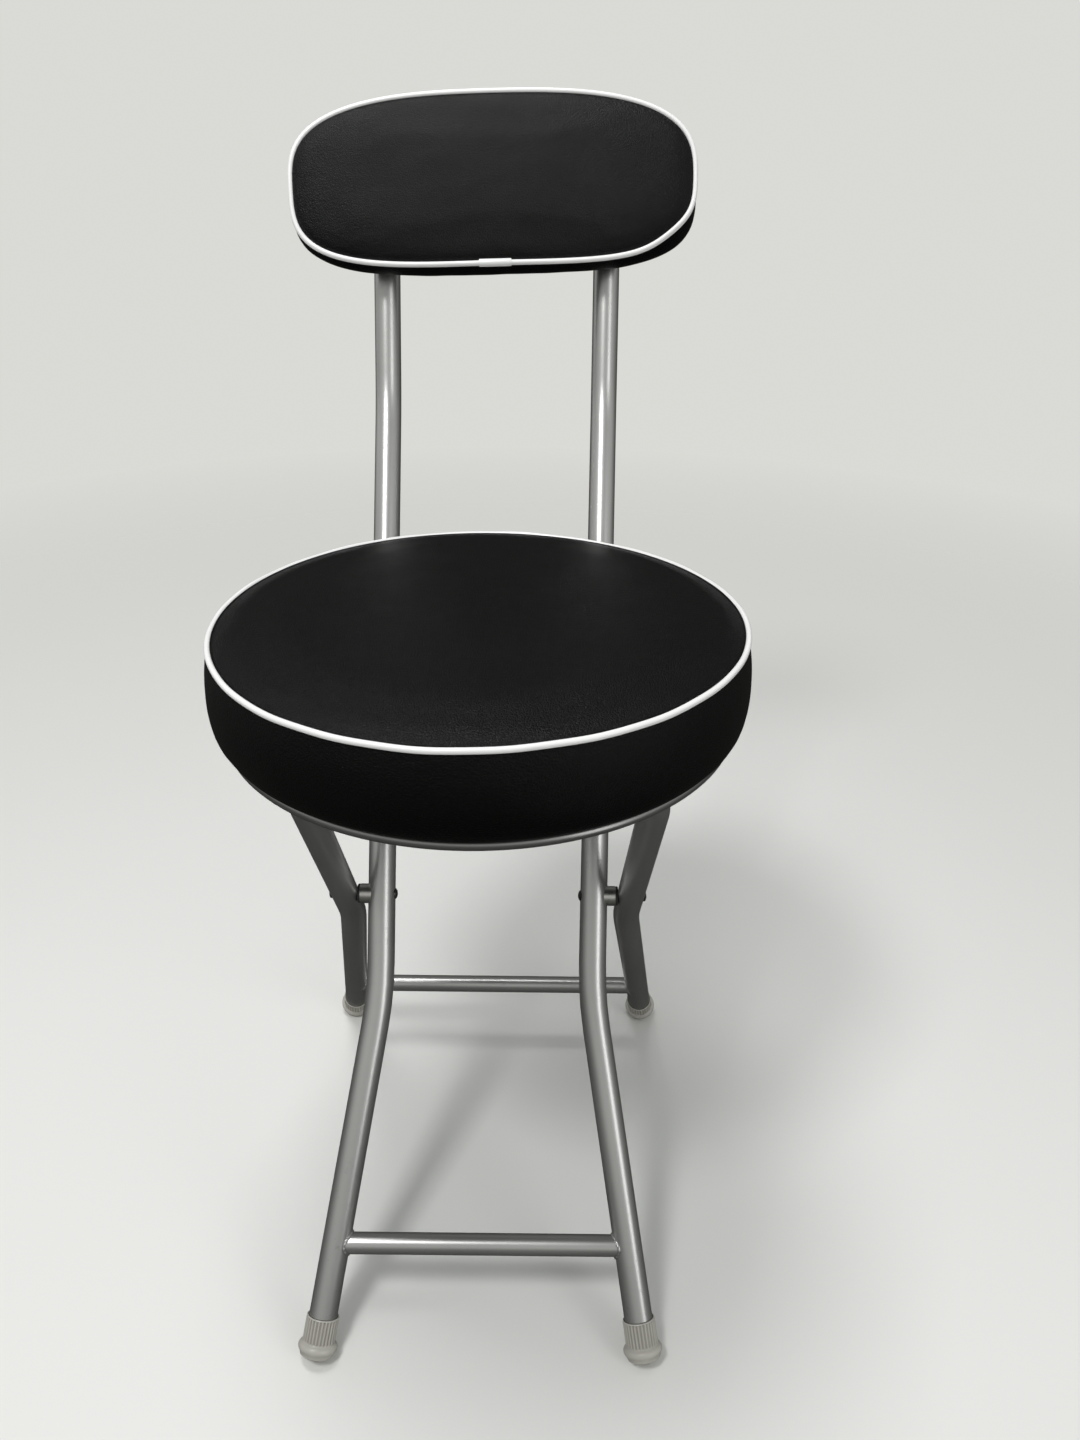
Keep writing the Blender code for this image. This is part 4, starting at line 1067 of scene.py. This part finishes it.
def head_seat(name, sheet):
    """Where a screw's head meets its bracket, under the pan."""
    centre = middle_of(name)
    return Matrix.Translation((centre.x, centre.y, PAN_UNDERSIDE - GAP - sheet - GAP))


for side in ("left", "right"):
    for end in ("front", "rear"):
        for kind, sheet in (("clamp", CLAMP_SHEET), ("hook", HOOK_SHEET)):
            node = "%s_screw_%s_%s" % (kind, side, end)
            lay_screw(seat_screw, node.replace("screw", "fixing"), head_seat(node, sheet), "seat", node)
    for end, on_tube, half_x in (("lower", BACK_BEND + BACK_AXIS * LOWER_SCREW_RISE, INNER_HALF_AT_BEND),
                                 ("upper", BACK_TOP, UPPER_SCREW_HALF)):
        seat_at = on_tube - BACK_NORMAL * (TUBE_R + GAP + SADDLE_WASHER + GAP)
        seat_at.x = -half_x if side == "left" else half_x
        node = "back_screw_%s_%s" % (side, end)
        lay_screw(back_screw, "back_fixing_%s_%s" % (side, end), towards(BACK_NORMAL, seat_at),
                  "front_frame", node)

for pattern in (seat_screw, back_screw):
    bpy.data.objects.remove(pattern)


# Brackets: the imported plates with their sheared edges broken

def soften_copy(node_name, width):
    """A merged copy of a packed plate with a small bevel on its sharp edges."""
    start_fresh()
    source = nodes[node_name]
    copy = bpy.data.objects.new("soft_" + node_name, source.data.copy())
    bpy.context.scene.collection.objects.link(copy)
    bpy.context.view_layer.objects.active = copy
    copy.select_set(True)
    bpy.ops.object.mode_set(mode="EDIT")
    bpy.ops.mesh.select_all(action="SELECT")
    bpy.ops.mesh.remove_doubles(threshold=0.00002)
    bpy.ops.mesh.dissolve_limited(angle_limit=math.radians(2))
    bpy.ops.object.mode_set(mode="OBJECT")
    edge = copy.modifiers.new("edge", "BEVEL")
    edge.width = width
    edge.segments = 2
    edge.limit_method = "ANGLE"
    edge.angle_limit = math.radians(40)
    bpy.ops.object.modifier_apply(modifier=edge.name)
    settle("soft_" + node_name, silver, "seat", [node_name], angle=40, final=None)


for bracket in ("seat_clamp_left", "seat_clamp_right", "seat_hook_left", "seat_hook_right"):
    soften_copy(bracket, EDGE_BREAK)


# CAD pieces that keep their shape take these finishes.

KEPT = (("saddle_washer", moulded), ("backrest_board", backing), ("seat_board", wood))

for name, node in nodes.items():
    for start, material in KEPT:
        if name.startswith(start):
            node.data.materials.clear()
            node.data.materials.append(material)


# Camera, light and floor

FOCAL_PIXELS = 1078.6
PHOTO_WIDTH = 1080
SENSOR_WIDTH = 36.0


def look_from(place, pitch, yaw, roll):
    """The camera, placed in the level frame and turned down, sideways and about its own axis."""
    camera = bpy.data.cameras.new("camera")
    camera.sensor_fit = "HORIZONTAL"
    camera.sensor_width = SENSOR_WIDTH
    camera.lens = FOCAL_PIXELS / PHOTO_WIDTH * SENSOR_WIDTH
    camera.clip_start = 0.01
    obj = bpy.data.objects.new("camera", camera)
    bpy.context.scene.collection.objects.link(obj)
    turn = (Matrix.Rotation(-yaw, 4, "Z") @ Matrix.Rotation(math.radians(90) - pitch, 4, "X")
            @ Matrix.Rotation(roll, 4, "Z"))
    obj.matrix_world = CHAIR @ Matrix.Translation(place) @ turn
    bpy.context.scene.camera = obj


look_from((0.0342, -0.5776, 0.7204), math.radians(28.58), math.radians(0.09), math.radians(0.69))


def soft_box(name, place, target, size, power):
    """A rectangular lamp that faces a point; its power is in watts."""
    lamp = bpy.data.lights.new(name, "AREA")
    lamp.shape = "RECTANGLE"
    lamp.size, lamp.size_y = size
    lamp.energy = power
    obj = bpy.data.objects.new(name, lamp)
    bpy.context.scene.collection.objects.link(obj)
    aim = (Vector(target) - Vector(place)).to_track_quat("-Z", "Y").to_matrix().to_4x4()
    obj.matrix_world = Matrix.Translation(place) @ aim


soft_box("key", (-0.59, -0.89, 2.02), (0, 0, 0.45), (0.34, 0.34), 15)
soft_box("fill", (1.30, -1.20, 0.95), (0, 0, 0.30), (0.6, 1.5), 6.5)
soft_box("top", (-0.25, 0.10, 2.15), (0, 0, 0.45), (0.70, 0.50), 17)
soft_box("back", (-1.9, 1.0, 0.9), (0, 0, 0.3), (1.2, 1.2), 1.5)


def studio_world():
    """Pale to the camera; reflections see it lightest in front and dark below and behind."""
    world = bpy.data.worlds.new("studio")
    world.use_nodes = True
    graph = Graph(world.node_tree)
    graph.tree.nodes.clear()
    path = graph.node("ShaderNodeLightPath")
    way = graph.node("ShaderNodeTexCoord").outputs["Generated"]
    parts = graph.node("ShaderNodeSeparateXYZ", sockets={0: way}).outputs
    across, behind, up = [Value(graph, part) for part in parts]
    stops = [(0.00, (0.08, 0.08, 0.075, 1)), (0.40, (0.15, 0.15, 0.14, 1)),
             (0.53, (0.28, 0.28, 0.27, 1)), (0.64, (0.68, 0.68, 0.66, 1)),
             (0.74, (0.80, 0.80, 0.78, 1)), (1.00, (0.34, 0.34, 0.34, 1))]
    room = graph.node("ShaderNodeValToRGB", {"stops": stops}, {0: up * 0.5 + 0.5}).outputs[0]
    pale = graph.node("ShaderNodeBackground", sockets={"Color": (0.70, 0.70, 0.67, 1)})
    mirrored = graph.node("ShaderNodeBackground", sockets={
        "Color": room, "Strength": across * across * 0.35 - behind * 0.40 + 0.55})
    light = graph.node("ShaderNodeBackground", sockets={
        "Color": (0.92, 0.94, 0.92, 1), "Strength": 0.42})
    glossy = graph.node("ShaderNodeMixShader", sockets={
        0: path.outputs["Is Glossy Ray"], 1: light.outputs[0], 2: mirrored.outputs[0]})
    seen = graph.node("ShaderNodeMixShader", sockets={
        0: path.outputs["Is Camera Ray"], 1: glossy.outputs[0], 2: pale.outputs[0]})
    graph.node("ShaderNodeOutputWorld", sockets={"Surface": seen.outputs[0]})
    bpy.context.scene.world = world


studio_world()


def floor():
    """A pale sheet that thins out into the background away from the stool."""
    start_fresh()
    bpy.ops.mesh.primitive_plane_add(size=12, location=(0, 0, 0))
    plane = bpy.context.object
    plane.name = "floor"
    finish = Finish("pale_floor")
    cloud = finish.speckle(1.2, 3.0)
    colour = finish.blend(cloud, (0.74, 0.74, 0.72), (0.79, 0.79, 0.77))
    finish.set(colour=colour, roughness=0.75 + cloud * 0.1)
    distance = finish.number("ShaderNodeVectorMath", {"operation": "LENGTH"},
                             {0: finish.place()}, output=1)
    clear = finish.node("ShaderNodeBsdfTransparent")
    thinned = finish.node("ShaderNodeMixShader", sockets={
        0: finish.ramp(distance, 0.5, 1.9), 1: finish.shader.outputs[0], 2: clear.outputs[0]})
    finish.plug(finish.tree.nodes["Material Output"].inputs[0], thinned.outputs[0])
    plane.data.materials.append(finish.material)
    plane.visible_glossy = False


floor()
start_fresh()

bpy.context.scene.view_settings.view_transform = "Standard"
